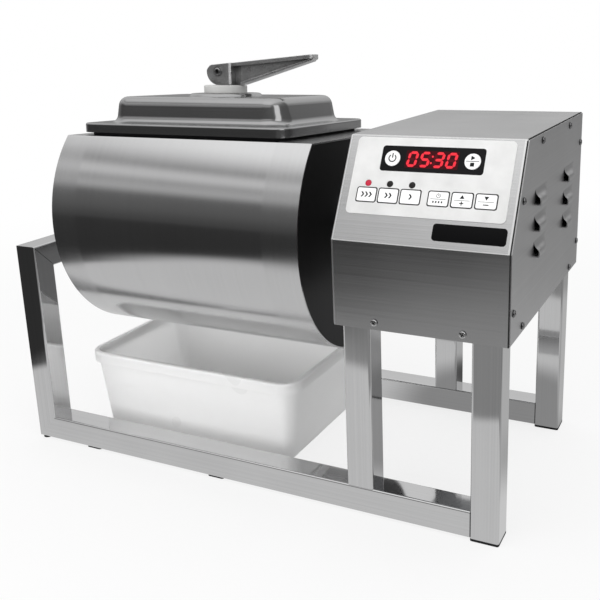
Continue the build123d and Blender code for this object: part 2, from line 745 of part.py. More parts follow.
# Drum
def drum_section(radius, flat):
    """The drum's round section with its flat top, as a face on the YZ plane."""
    face = Circle(radius) & Pos(0, flat - 2 * radius) * Rectangle(4 * radius, 4 * radius)
    return Plane.YZ * face


def drum_block(radius, flat, x0, x1):
    """The drum's section as a block between two places along X."""
    return Pos(x0, 0, 0) * extrude(drum_section(radius, flat), x1 - x0)


def drum():
    """The drum: curved shell, hatch plate, end discs, paddles and shafts, all in the drum's frame."""
    nodes = {}
    inner_radius = drum_radius - drum_wall
    inner_flat = drum_flat - drum_wall
    outer = drum_block(drum_radius, drum_flat, drum_left, drum_right)
    inner = drum_block(inner_radius, inner_flat, drum_left - 1, drum_right + 1)
    top = half_space((0, 0, inner_flat), (0, 0, 1))
    nodes["drum_shell"] = (outer - inner) - top
    plate = outer & top
    nodes["drum_hatch_plate"] = plate - Pos(hatch_x, 0, 0) * slab(*hatch_size, hatch_corner, 0, cut_reach)
    left_disc = drum_left + disc_recess
    right_disc = drum_right - disc_recess
    disc = drum_block(inner_radius, inner_flat, 0, disc_thick) - rod_x(shaft_diameter / 2 + 0.5, -5, 10)
    left = Pos(left_disc, 0, 0) * disc
    right = Pos(right_disc - disc_thick, 0, 0) * disc
    bolt = hex_bolt(hub_bolt, hub_bolt + 5, hub_thick + 6)
    bolt_places = []
    for turn in hub_turns:
        angle = math.radians(turn)
        bolt_places.append((hub_bolt_circle * math.cos(angle), hub_bolt_circle * math.sin(angle)))
    bolt_hole = hub_bolt / 2 + slip_gap
    bolts = []
    for y, z in bolt_places:
        left -= rod_x(bolt_hole, left_disc - 5, left_disc + 10, y, z)
        right -= rod_x(bolt_hole, right_disc - 10, right_disc + 5, y, z)
        bolts.append(Pos(left_disc - hub_thick, y, z) * Rot(0, -90, 0) * bolt)
        bolts.append(Pos(right_disc + hub_thick, y, z) * Rot(0, 90, 0) * bolt)
    nodes["drum_left_disc"] = left
    nodes["drum_right_disc"] = right
    nodes["hub_bolts"] = group(bolts)
    shaft = shaft_diameter / 2
    stub = rod_x(hub_radius, left_disc - hub_thick, left_disc)
    stub += rod_x(hub_boss_radius, left_disc - 2 * hub_thick, left_disc)
    stub += rod_x(shaft, x_left + 1.0, left_disc)
    driven = rod_x(hub_radius, right_disc, right_disc + hub_thick)
    driven += rod_x(hub_boss_radius, right_disc, right_disc + 2 * hub_thick)
    driven += rod_x(shaft, right_disc, gear_x + gear_width / 2 + 8.0)
    for y, z in bolt_places:
        stub -= rod_x(bolt_hole, left_disc - hub_thick - 2, left_disc + 5, y, z)
        driven -= rod_x(bolt_hole, right_disc - 5, right_disc + hub_thick + 2, y, z)
    nodes["stub_shaft"] = stub
    nodes["drive_shaft"] = driven
    fold = Polyline((-paddle_base / 2, 0), (-5, paddle_height), (5, paddle_height), (paddle_base / 2, 0),
                    (paddle_base / 2 - 3, 0), (4, paddle_height - 2), (-4, paddle_height - 2),
                    (-paddle_base / 2 + 3, 0), close=True)
    length = drum_length - 2 * (disc_recess + disc_thick)
    foot = math.sqrt(inner_radius ** 2 - (paddle_base / 2) ** 2)
    paddles = []
    for turn in paddle_angles:
        strip = extrude(Plane.YZ * make_face(fold), length)
        strip = Pos(left_disc + disc_thick, 0, 0) * Rot(turn + 90, 0, 0) * Pos(0, 0, -foot) * strip
        paddles.append(strip)
    nodes["drum_paddles"] = group(paddles)
    return {name: on_drum(shape) for name, shape in nodes.items()}


# Lid and clamp
def lid_form(shrink, low, rim_round):
    """The lid's pressed form, made smaller all round by a sheet thickness, down to a height."""
    top = flange_top - shrink
    crown = plateau_top - shrink
    flange = slab(lid_size[0] - 2 * shrink, lid_size[1] - 2 * shrink, lid_corner - shrink, low, top)
    flange = fillet(ring_edges(flange, top), rim_round)
    base_size = (plateau_base[0] - 2 * shrink, plateau_base[1] - 2 * shrink)
    crown_size = (plateau_top_size[0] - 2 * shrink, plateau_top_size[1] - 2 * shrink)
    corners = (plateau_corners[0] - shrink, plateau_corners[1] - shrink)
    raised = tapered(base_size, corners[0], top, crown_size, corners[1], crown)
    form = flange + fillet(ring_edges(raised, crown), plateau_round - shrink)
    foot = (plateau_base[0] + 2, plateau_base[1] + 2)
    return fillet(ring_edges(form, top, foot), plateau_sweep + shrink)


def lid():
    """The pressed lid, its gasket and the nylon collar on its mound."""
    outer = lid_form(0, lip_bottom, lip_rounds[0])
    inner = lid_form(lid_sheet, lip_bottom - 5, lip_rounds[1])
    mound_foot = plateau_top - mound_sink
    mound = Cone(mound_radius, mound_radius - mound_taper, mound_top - mound_foot, align=LOW)
    mound = Pos(0, 0, mound_foot) * mound
    mound = fillet(mound.edges().group_by(Axis.Z)[-1], mound_round)
    shell = outer - inner + mound
    shell -= rod_z(spindle_diameter / 2 + 2, 0, cut_reach)
    gasket_length = lid_size[0] - 2 * gasket_inset
    gasket_width = lid_size[1] - 2 * gasket_inset
    gasket = slab(gasket_length, gasket_width, gasket_corners[0], drum_flat, flange_top - lid_sheet)
    ring_hole = (gasket_length - 2 * gasket_band, gasket_width - 2 * gasket_band)
    gasket -= slab(*ring_hole, gasket_corners[1], drum_flat - 1, flange_top)
    collar = rod_z(collar_radius, mound_top, collar_top)
    collar = fillet(collar.edges().group_by(Axis.Z)[-1], collar_rounds[0])
    collar = fillet(collar.edges().group_by(Axis.Z)[0], collar_rounds[1])
    collar -= rod_z(spindle_diameter / 2 + running_gap, 0, cut_reach)
    place = Pos(hatch_x, 0, 0)
    return {"lid": on_drum(place * shell), "lid_gasket": on_drum(place * gasket),
            "clamp_collar": on_drum(place * collar)}


def clamp():
    """Spindle with its eye, cross bar and pivot pin, in the drum's frame."""
    eye = rod_y(10.0, -eye_width / 2, eye_width / 2, 0, pivot_height)
    spindle = rod_z(spindle_diameter / 2, bar_top - bar_thick - 15, pivot_height) + eye
    spindle -= rod_y(pivot_diameter / 2, -20, 20, 0, pivot_height)
    nut = Pos(0, 0, bar_top - bar_thick - 12) * extrude(RegularPolygon(12.0, 6, major_radius=False), 12)
    spindle = spindle + nut
    bar = slab(bar_length, bar_width, 16.0, bar_top - bar_thick, bar_top)
    bar = fillet(bar.edges().group_by(Axis.Z)[-1], 2.0)
    bar -= rod_z(spindle_diameter / 2 + running_gap, 0, cut_reach)
    pin = rod_y(pivot_diameter / 2, -lever_head / 2 - 1.5, lever_head / 2 + 1.5, 0, pivot_height)
    for end in (-1, 1):
        face = rod_y(7.0, 0, 1.5) if end > 0 else rod_y(7.0, -1.5, 0)
        pin += Pos(0, end * (lever_head / 2 + 0.3), pivot_height) * face
    place = Pos(hatch_x, 0, 0)
    return {"clamp_spindle": on_drum(place * spindle), "clamp_bar": on_drum(place * bar),
            "pivot_pin": on_drum(place * pin)}


def lever():
    """The cast cam lever: a forked head and a T-section arm rising to its rounded tip."""
    rise = (lever_tip_top - lever_head_top) / (lever_reach + 14.0)
    low = -cam_radius

    def top_at(u):
        return lever_head_top + rise * (u + 14.0)

    def profile(*points, width):
        return extrude(Plane.XZ * make_face(Polyline(*points, close=True)), width / 2, both=True)

    nose = -cam_radius + 11.0
    head_side = (
        Line((0, low), (lever_head_right, low))
        + Line((lever_head_right, low), (lever_head_right, top_at(lever_head_right)))
        + Line((lever_head_right, top_at(lever_head_right)), (nose, top_at(nose)))
        + Spline((nose, top_at(nose)), (-cam_radius + 2.6, lever_head_top - 4.2), (-cam_radius, 0),
                 tangents=((-1, 0), (0, -1)))
        + RadiusArc((-cam_radius, 0), (0, low), -cam_radius)
    )
    head = extrude(Plane.XZ * make_face(head_side), lever_head / 2, both=True)
    head = chamfer(head.edges().filter_by(Axis.Z).group_by(Axis.X)[-1], lever_edge)
    start = lever_head_right - 2
    neck_end = lever_neck_end + 1
    end_bottom = (lever_reach - 6, 13.6)
    end_middle = (lever_reach, 17.5)
    tip = lever_reach - 1.5
    neck = profile((start, low), (lever_neck_end, low), (neck_end, low + 0.5), (neck_end, top_at(neck_end)),
                   (start, top_at(start)), width=lever_neck)
    web = profile((lever_neck_end, low), end_bottom, end_middle, (tip, top_at(tip)),
                  (lever_neck_end, top_at(lever_neck_end)), width=lever_web)
    cap = profile((start, top_at(start)), (tip, top_at(tip)), end_middle,
                  (lever_reach - 4, top_at(lever_reach) - lever_flange_depth - 1),
                  (start, top_at(start) - lever_flange_depth), width=lever_flange)
    rib = profile((lever_neck_end, low), end_bottom, (lever_reach - 6, 17.0), (lever_neck_end, low + 4.0),
                  width=lever_web + 5)
    plan_length = lever_reach - start + 2 * lever_tip_round
    plan = extrude(RectangleRounded(plan_length, lever_flange, lever_tip_round), 60, both=True)
    arm = (neck + web + cap + rib) & Pos(lever_reach - plan_length / 2, 0, 0) * plan
    body = head + arm
    slot = Pos(-30, 0, 0) * Box(60 + 2 * (10.0 + 1.5), lever_slot, 120)
    body -= slot
    body -= rod_y(pivot_diameter / 2 + running_gap, -40, 40)
    return {"cam_lever": on_drum(Pos(hatch_x, 0, pivot_height) * body)}


# Catch tub
def catch_tub():
    """The moulded tub under the drum, with a skirted rim."""
    wall_length = tub_length - 2 * tub_rim
    wall_width = tub_width - 2 * tub_rim
    corner = tub_corner - tub_rim
    outer = tapered((wall_length - 2 * tub_draft, wall_width - 2 * tub_draft), corner - tub_draft, 0,
                    (wall_length, wall_width), corner, tub_height)
    outer = fillet(ring_edges(outer, 0), 8.0)
    rim = slab(tub_length, tub_width, tub_corner, tub_height - tub_skirt, tub_height)
    rim = fillet(ring_edges(rim, tub_height), 3.0)
    rim -= slab(tub_length - 2 * tub_wall, tub_width - 2 * tub_wall, tub_corner - tub_wall,
                tub_height - tub_skirt - 5, tub_height - tub_wall)
    inner_length = wall_length - 2 * tub_wall
    inner_width = wall_width - 2 * tub_wall
    inner_corner = corner - tub_wall
    inner_floor = (inner_length - 2 * tub_draft, inner_width - 2 * tub_draft)
    hollow = tapered(inner_floor, inner_corner - tub_draft, tub_wall,
                     (inner_length, inner_width), inner_corner, tub_height + 0.5)
    hollow = fillet(ring_edges(hollow, tub_wall), 6.0)
    tub = outer + rim - hollow
    return {"catch_tub": Pos(x_left + tub_left_offset + tub_length / 2, 0, 0) * tub}


def main():
    """Builds every node and writes one STEP file for each."""
    nodes = {}
    for build in (stand, feet, housing, controls, electrics, drive, drum, lid, clamp, lever, catch_tub):
        nodes.update(build())
    for name, shape in nodes.items():
        export_step(shape, f"parts/{name}.step")
    print(len(nodes), "nodes written")


main()
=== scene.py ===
"""Dresses the meat tumbler: steel finishes, control panel graphics, screw heads, studio light and camera."""

import json
import logging
import math
from dataclasses import dataclass
from enum import Enum

import bmesh
import bpy
import numpy as np
from mathutils import Matrix, Vector

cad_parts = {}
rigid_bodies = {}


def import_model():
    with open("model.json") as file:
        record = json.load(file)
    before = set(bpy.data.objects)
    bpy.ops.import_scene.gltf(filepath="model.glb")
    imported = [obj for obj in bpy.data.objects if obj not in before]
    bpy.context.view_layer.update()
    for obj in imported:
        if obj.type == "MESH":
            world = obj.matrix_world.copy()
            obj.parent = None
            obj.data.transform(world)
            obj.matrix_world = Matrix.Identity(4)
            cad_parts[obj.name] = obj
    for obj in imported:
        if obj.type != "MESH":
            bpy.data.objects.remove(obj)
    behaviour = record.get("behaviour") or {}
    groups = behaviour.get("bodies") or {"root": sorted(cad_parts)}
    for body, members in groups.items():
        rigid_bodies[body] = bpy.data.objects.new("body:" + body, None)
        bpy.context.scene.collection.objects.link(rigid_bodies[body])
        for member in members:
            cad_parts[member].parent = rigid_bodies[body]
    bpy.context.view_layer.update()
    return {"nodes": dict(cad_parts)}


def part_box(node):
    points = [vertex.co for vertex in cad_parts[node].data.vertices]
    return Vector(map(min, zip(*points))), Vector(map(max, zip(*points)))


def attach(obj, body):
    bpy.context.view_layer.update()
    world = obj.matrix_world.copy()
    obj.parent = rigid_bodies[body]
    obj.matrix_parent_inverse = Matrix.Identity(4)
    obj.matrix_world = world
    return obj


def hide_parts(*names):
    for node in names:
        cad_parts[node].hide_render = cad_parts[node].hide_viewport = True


LOG = logging.getLogger("tumbler")
MM = 0.001
IMAGE_SIDE = 600
SENSOR = 36.0
NOISE_SPAN = (0.3, 0.7)
TRIM_SINK = 0.2
SAME_DIGITS = 7
WHITE = (1.0, 1.0, 1.0, 1.0)
UP = (0.0, 0.0, 1.0)

Colour = tuple[float, float, float]
Point = tuple[float, float]
Place = tuple[float, float, float]
Spot = Vector | Place
Socket = bpy.types.NodeSocket
BMesh = bmesh.types.BMesh
Nodes = dict[str, bpy.types.Object]


class Grain(Enum):
    """The way a sheet's polishing lines run, as noise frequencies along X, Y and Z in lines per metre."""

    ALONG_X = (1.2, 800.0, 800.0)
    ALONG_Y = (800.0, 1.2, 800.0)
    ALONG_Z = (800.0, 800.0, 1.2)
    ROUND_X = (800.0, 2.0, 2.0)


class Facing(Enum):
    """The way a face or a screw head looks."""

    FRONT = (0.0, -1.0, 0.0)
    BACK = (0.0, 1.0, 0.0)
    LEFT = (-1.0, 0.0, 0.0)
    RIGHT = (1.0, 0.0, 0.0)


class NodeTree:
    """A node tree under construction."""

    def __init__(self, tree: bpy.types.NodeTree) -> None:
        """Takes the tree that its nodes join."""
        self.tree = tree

    def feed(self, target: Socket, value: object) -> None:
        """Links an output to an input, or sets the input to a value.

        Args:
            target: the input.
            value: an output socket or a plain value.
        """
        if isinstance(value, Socket):
            self.tree.links.new(value, target)
        else:
            target.default_value = value

    def set(self, node: bpy.types.Node, **sockets: object) -> bpy.types.Node:
        """Sets or links a node's inputs.

        Args:
            node: the node to change.
            sockets: values or output sockets by input name, with _ for a space.

        Returns:
            The same node.
        """
        for name, value in sockets.items():
            self.feed(node.inputs[name.replace("_", " ")], value)
        return node

    def add(self, kind: str, **sockets: object) -> bpy.types.Node:
        """Adds a node of a kind and sets its inputs."""
        return self.set(self.tree.nodes.new(kind), **sockets)

    def math(self, operation: str, one: object, two: object) -> Socket:
        """Joins two numbers.

        Args:
            operation: how, such as ADD.
            one: the first number.
            two: the second number.

        Returns:
            The result.
        """
        node = self.add("ShaderNodeMath")
        node.operation = operation
        self.feed(node.inputs[0], one)
        self.feed(node.inputs[1], two)
        return node.outputs[0]

    def span(self, value: Socket, start: Point, ends: Point = (0.0, 1.0), soft: bool = False) -> Socket:
        """Maps a span of a value to another one.

        Args:
            value: the value.
            start: where the change starts and stops.
            ends: the result at the two ends.
            soft: whether the change eases in and out.

        Returns:
            The result.
        """
        node = self.add("ShaderNodeMapRange", Value=value, From_Min=start[0], From_Max=start[1],
                        To_Min=ends[0], To_Max=ends[1])
        if soft:
            node.interpolation_type = "SMOOTHSTEP"
        return node.outputs["Result"]

    def ramp(self, value: Socket, stops: list[tuple[float, Colour]]) -> Socket:
        """Turns a value into a colour.

        Args:
            value: the value.
            stops: each stop's value and colour, in rising order.

        Returns:
            The colour.
        """
        node = self.add("ShaderNodeValToRGB", Fac=value)
        elements = node.color_ramp.elements
        while len(elements) < len(stops):
            elements.new(0.5)
        for element, (at, colour) in zip(elements, stops):
            element.position = at
            element.color = (*colour, 1.0)
        return node.outputs["Color"]

    def blend(self, share: Socket, one: object, two: object) -> Socket:
        """Mixes two colours.

        Args:
            share: how much of the second one shows.
            one: the first colour.
            two: the second colour.

        Returns:
            The mixed colour.
        """
        node = self.add("ShaderNodeMix", Factor=share)
        node.data_type = "RGBA"
        self.feed(node.inputs[6], one)
        self.feed(node.inputs[7], two)
        return node.outputs[2]


class Shader(NodeTree):
    """A node material under construction."""

    def __init__(self, name: str) -> None:
        """Starts a material with one Principled shader.

        Args:
            name: the material's name.
        """
        self.material = bpy.data.materials.new(name)
        self.material.use_nodes = True
        super().__init__(self.material.node_tree)
        self.surface = self.tree.nodes["Principled BSDF"]

    def place(self, scale: Place) -> Socket:
        """Gives the row-frame position times a scale, as pattern units in a metre on X, Y and Z."""
        where = self.add("ShaderNodeTexCoord").outputs["Object"]
        return self.add("ShaderNodeMapping", Vector=where, Scale=scale).outputs["Vector"]

    def noise(self, scale: Place, detail: float = 3.0) -> Socket:
        """Gives a noise value from 0 to 1 that runs with the row frame, in cells per metre."""
        node = self.add("ShaderNodeTexNoise", Vector=self.place(scale), Scale=1.0, Detail=detail)
        return node.outputs["Fac"]

    def spread(self, value: Socket, middle: float, swing: float) -> Socket:
        """Maps a noise value's usual span to a number and its swing."""
        return self.span(value, NOISE_SPAN, (middle - swing, middle + swing))

    def tones(self, value: Socket, colour: Colour, dark: float, light: float) -> Socket:
        """Gives a colour that a noise value makes darker and lighter.

        Args:
            value: the noise, from 0 to 1.
            colour: the middle colour.
            dark: the factor at the noise's low end.
            light: the factor at its high end.

        Returns:
            The colour.
        """
        ends = [tuple(min(1.0, c * factor) for c in colour) for factor in (dark, light)]
        return self.ramp(value, list(zip(NOISE_SPAN, ends)))

    def bump(self, height: Socket, depth: float, strength: float, rounding: float = 0.0) -> None:
        """Roughens the surface by a height value.

        Args:
            height: the height, from 0 to 1.
            depth: how far it goes in millimetres.
            strength: how much of it shows.
            rounding: the radius in millimetres by which edges look eased.
        """
        node = self.add("ShaderNodeBump", Height=height, Distance=depth * MM, Strength=strength)
        self.set(self.surface, Normal=node.outputs["Normal"])
        if rounding > 0:
            edge = self.add("ShaderNodeBevel", Radius=rounding * MM)
            self.set(node, Normal=edge.outputs["Normal"])


@dataclass(frozen=True)
class Finish:
    """A surface finish: its name, colour and gloss."""

    name: str
    colour: Colour
    roughness: float

    def material(self) -> bpy.types.Material:
        """Builds the finish as a node material."""
        raise NotImplementedError


@dataclass(frozen=True)
class Steel(Finish):
    """Stainless steel with polishing lines, faint smudges and a soft change of gloss."""

    grain: Grain = Grain.ALONG_X
    line_depth: float = 0.01
    line_strength: float = 0.012
    gloss_swing: float = 0.05
    tone_swing: float = 0.06
    stretch: float = 0.0
    stretch_turn: float = 0.25
    clouds: Place = (9.0, 9.0, 9.0)

    def material(self) -> bpy.types.Material:
        """Builds the steel.

        Returns:
            The material.
        """
        shader = Shader(self.name)
        lines = shader.noise(self.grain.value, 1.0)
        both = shader.math("ADD", lines, shader.noise(self.clouds))
        mixed = shader.math("MULTIPLY", both, 0.5)
        shader.set(shader.surface, Metallic=1.0, Roughness=self.gloss(shader, mixed),
                   Base_Color=shader.tones(mixed, self.colour, 1 - self.tone_swing, 1 + self.tone_swing))
        if self.stretch > 0:
            turn = shader.add("ShaderNodeTangent")
            turn.direction_type, turn.axis = "RADIAL", "X"
            shader.set(shader.surface, Anisotropic=self.stretch, Anisotropic_Rotation=self.stretch_turn,
                       Tangent=turn.outputs[0])
        shader.bump(lines, self.line_depth, self.line_strength)
        return shader.material

    def gloss(self, shader: Shader, mixed: Socket) -> Socket:
        """Gives the roughness over the sheet."""
        return shader.spread(mixed, self.roughness, self.gloss_swing)


@dataclass(frozen=True)
class BandedSteel(Steel):
    """Steel of a shell whose two ends are duller than its middle. Places are metres along X."""

    middle_ends: Point = (0.0, 0.0)
    edge: float = 0.002
    duller: float = 0.06

    def gloss(self, shader: Shader, mixed: Socket) -> Socket:
        """Gives the roughness over the shell, with its dull ends.

        Args:
            shader: the material.
            mixed: the sheet's uneven polish, from 0 to 1.

        Returns:
            The roughness.
        """
        along = shader.add("ShaderNodeSeparateXYZ", Vector=shader.place((1.0, 1.0, 1.0))).outputs["X"]
        total = super().gloss(shader, mixed)
        for place, ends in zip(self.middle_ends, ((self.duller, 0.0), (0.0, self.duller))):
            step = shader.span(along, (place - self.edge, place + self.edge), ends)
            total = shader.math("ADD", total, step)
        return total


@dataclass(frozen=True)
class CastMetal(Finish):
    """A blasted casting with a fine sandy skin and eased edges, and painted shade that darkens its corners
    and crevices.
    """

    metallic: float = 1.0
    grit: float = 700.0
    rounding: float = 1.5
    painted_shade_reach: float = 12.0
    clouds: Place = (60.0, 60.0, 60.0)
    tone_ends: Point = (0.72, 1.18)
    gloss_swing: float = 0.08
    grit_depth: float = 0.25
    grit_strength: float = 0.55

    def material(self) -> bpy.types.Material:
        """Builds the casting's skin.

        Returns:
            The material.
        """
        shader = Shader(self.name)
        sand = shader.noise((self.grit,) * 3)
        skin = shader.tones(sand, self.colour, *self.tone_ends)
        # Ambient occlusion darkens the colour in corners and crevices: painted shade.
        corners = shader.add("ShaderNodeAmbientOcclusion", Color=skin, Distance=self.painted_shade_reach * MM)
        shader.set(shader.surface, Base_Color=corners.outputs["Color"], Metallic=self.metallic,
                   Roughness=shader.spread(shader.noise(self.clouds), self.roughness, self.gloss_swing))
        shader.bump(sand, self.grit_depth, self.grit_strength, self.rounding)
        return shader.material


@dataclass(frozen=True)
class Moulding(Finish):
    """Moulded plastic or rubber with a faint uneven skin."""

    tone_swing: float = 0.03
    skin: float = 300.0
    skin_strength: float = 0.08
    glow_through: float = 0.0
    gloss: float = 0.5
    glow_depth: float = 14.0
    clouds: Place = (7.0, 7.0, 7.0)
    gloss_swing: float = 0.03
    skin_depth: float = 0.1

    def material(self) -> bpy.types.Material:
        """Builds the moulded skin.

        Returns:
            The material.
        """
        shader = Shader(self.name)
        clouds = shader.noise(self.clouds, 0.0)
        shader.set(shader.surface, Roughness=shader.spread(clouds, self.roughness, self.gloss_swing),
                   Base_Color=shader.tones(clouds, self.colour, 1 - self.tone_swing, 1 + self.tone_swing),
                   Specular_IOR_Level=self.gloss)
        if self.glow_through > 0:
            shader.set(shader.surface, Subsurface_Weight=self.glow_through, Subsurface_Radius=(1.0, 1.0, 1.0),
                       Subsurface_Scale=self.glow_depth * MM)
        shader.bump(shader.noise((self.skin,) * 3), self.skin_depth, self.skin_strength)
        return shader.material


@dataclass(frozen=True)
class PanelFilm(Finish):
    """The silvery printed film of the control panel, with soft grey clouds."""

    metallic: float = 0.25
    clouds: Place = (26.0, 26.0, 26.0)
    tone_ends: Point = (0.86, 1.04)
    gloss_swing: float = 0.06
    line_depth: float = 0.02
    line_strength: float = 0.06

    def material(self) -> bpy.types.Material:
        """Builds the film.

        Returns:
            The material.
        """
        shader = Shader(self.name)
        clouds = shader.noise(self.clouds, 6.0)
        shader.set(shader.surface, Base_Color=shader.tones(clouds, self.colour, *self.tone_ends),
                   Metallic=self.metallic, Roughness=shader.spread(clouds, self.roughness, self.gloss_swing))
        shader.bump(shader.noise(Grain.ALONG_X.value), self.line_depth, self.line_strength)
        return shader.material


@dataclass(frozen=True)
class Glow(Finish):
    """A lit lamp or display segment."""

    strength: float = 1.0
    speckle: Place = (900.0, 900.0, 900.0)
    tone_ends: Point = (0.8, 1.1)

    def material(self) -> bpy.types.Material:
        """Builds the lit plastic.

        Returns:
            The material.
        """
        shader = Shader(self.name)
        lit = shader.tones(shader.noise(self.speckle, 2.0), self.colour, *self.tone_ends)
        shader.set(shader.surface, Base_Color=lit, Emission_Color=lit, Emission_Strength=self.strength,
                   Roughness=self.roughness)
        return shader.material


TUBE_STEEL = {
    grain: Steel(f"polished_tube_{grain.name.lower()}", (0.60, 0.60, 0.603), 0.06, grain, 0.01, 0.004, 0.02,
                 0.05)
    for grain in (Grain.ALONG_X, Grain.ALONG_Y, Grain.ALONG_Z)
}
DRUM_STEEL = BandedSteel("brushed_drum", (0.60, 0.60, 0.603), 0.16, Grain.ROUND_X, 0.01, 0.008, 0.02, 0.035,
                         0.6, middle_ends=(-0.267, 0.052))
DISC_STEEL = Steel("brushed_disc", (0.50, 0.50, 0.503), 0.36, Grain.ALONG_Z)
# Near-black steel on the drum's right disc: painted shade, where the disc faces the dark gap by the housing.
DISC_SHADE_STEEL = Steel("right_disc_painted_shade", (0.04, 0.04, 0.041), 0.45, Grain.ALONG_Z)
SHEET_STEEL = Steel("satin_sheet", (0.66, 0.66, 0.663), 0.22, Grain.ALONG_X, 0.01, 0.01, 0.03, 0.07)
SIDE_STEEL = Steel("satin_side", (0.58, 0.58, 0.583), 0.42, Grain.ALONG_Y, 0.01, 0.008, 0.03, 0.08)
# Bright steel of the edge strips: painted highlight along the housing's edges and bends.
PAINTED_HIGHLIGHT_STEEL = Steel("painted_edge_highlight", (0.86, 0.86, 0.86), 0.30, Grain.ALONG_Z)
LID_STEEL = Steel("pressed_lid", (0.37, 0.37, 0.372), 0.17, Grain.ALONG_X, 0.01, 0.006, 0.03, 0.05)
TURNED_STEEL = Steel("turned_steel", (0.55, 0.55, 0.553), 0.28, Grain.ROUND_X, 0.02, 0.10)
SCREW_STEEL = Steel("screw_steel", (0.56, 0.56, 0.563), 0.14, Grain.ALONG_Z)
# A darker copy of screw_steel for the side panels' heads: painted shade.
SHADED_SIDE_SCREW_STEEL = Steel("side_screw_painted_shade", (0.24, 0.24, 0.243), 0.16, Grain.ALONG_Z)
# Near-black for the screw heads' side walls and recesses and the pin ends' dimples: painted shade.
SCREW_SHADE = Steel("screw_shade", (0.035, 0.035, 0.036), 0.40, Grain.ALONG_Z)
PLAIN_STEEL = Steel("plate_steel", (0.52, 0.53, 0.54), 0.38, Grain.ALONG_Y)
SUPPLY_CASE = Steel("supply_case", (0.66, 0.67, 0.68), 0.42, Grain.ALONG_X)
# The castings darken in their corners and crevices: painted shade from CastMetal.
LEVER_CASTING = CastMetal("lever_casting", (0.86, 0.86, 0.86), 0.34)
BEARING_CASTING = CastMetal("bearing_casting", (0.17, 0.19, 0.21), 0.48, 0.0, 260.0)
MOTOR_PAINT = CastMetal("motor_paint", (0.26, 0.28, 0.30), 0.45, 0.0, 380.0)
BLACK_RUBBER = Moulding("black_rubber", (0.006, 0.006, 0.0065), 0.62, 0.25, 500.0, 0.20, 0.0, 0.2)
WHITE_NYLON = Moulding("white_nylon", (0.54, 0.54, 0.53), 0.38, 0.03, 260.0, 0.05, 0.15)
TUB_PLASTIC = Moulding("tub_plastic", (0.92, 0.92, 0.915), 0.30, 0.004, 60.0, 0.01, 1.0)
KEY_PLASTIC = Moulding("key_plastic", (0.82, 0.82, 0.82), 0.36, 0.03, 400.0, 0.04)
WINDOW_PLASTIC = Moulding("smoked_window", (0.004, 0.004, 0.0045), 0.14, 0.3, 200.0, 0.01, 0.0, 0.15)
FIELD_RED = Moulding("display_field", (0.036, 0.003, 0.005), 0.30, 0.3, 400.0, 0.01, 0.0, 0.1)
PLATE_BLACK = Moulding("black_plate", (0.003, 0.003, 0.0033), 0.42, 0.3, 260.0, 0.02, 0.0, 0.06)
PRINT_BLACK = Moulding("black_print", (0.010, 0.010, 0.011), 0.50, 0.2, 900.0, 0.05, 0.0, 0.2)
# Near-black: painted shadow in the gap round the right side panel, and the stand's dark weld lines at the
# mitres.
WELD_AND_GAP_SHADOW_BLACK = Moulding("weld_line_and_gap_shadow", (0.012, 0.012, 0.012), 0.60, 0.2, 900.0, 0.05, 0.0, 0.15)
INLET_PLASTIC = Moulding("inlet_plastic", (0.025, 0.025, 0.026), 0.42, 0.2, 500.0, 0.15)
BOARD_RESIN = Moulding("board_resin", (0.03, 0.20, 0.09), 0.45, 0.15, 200.0, 0.10)
PANEL_FILM = PanelFilm("panel_film", (0.72, 0.72, 0.715), 0.34)
LIT_RED = Glow("lit_red", (0.62, 0.010, 0.024), 0.35, 0.45)
UNLIT_RED = Moulding("unlit_segment", (0.075, 0.005, 0.009), 0.30, 0.2, 900.0, 0.02, 0.0, 0.1)
LAMP_RED = Glow("lamp_red", (0.44, 0.012, 0.040), 0.24, 0.05)
LAMP_DARK = Moulding("lamp_dark", (0.012, 0.011, 0.011), 0.16, 0.3, 900.0, 0.02, 0.0, 0.25)


class Wardrobe:
    """Keeps one material for each finish."""

    def __init__(self) -> None:
        """Starts with no materials."""
        self.made: dict[str, bpy.types.Material] = {}

    def get(self, finish: Finish) -> bpy.types.Material:
        """Gives the finish's material, built once."""
        made = self.made.get(finish.name) or finish.material()
        return self.made.setdefault(finish.name, made)

    def dress(self, piece: bpy.types.Object, finish: Finish) -> None:
        """Puts one finish all over a piece.

        Args:
            piece: the object to dress.
            finish: its finish.
        """
        piece.data.materials.clear()
        piece.data.materials.append(self.get(finish))
        LOG.info("%s wears %s", piece.name, finish.name)


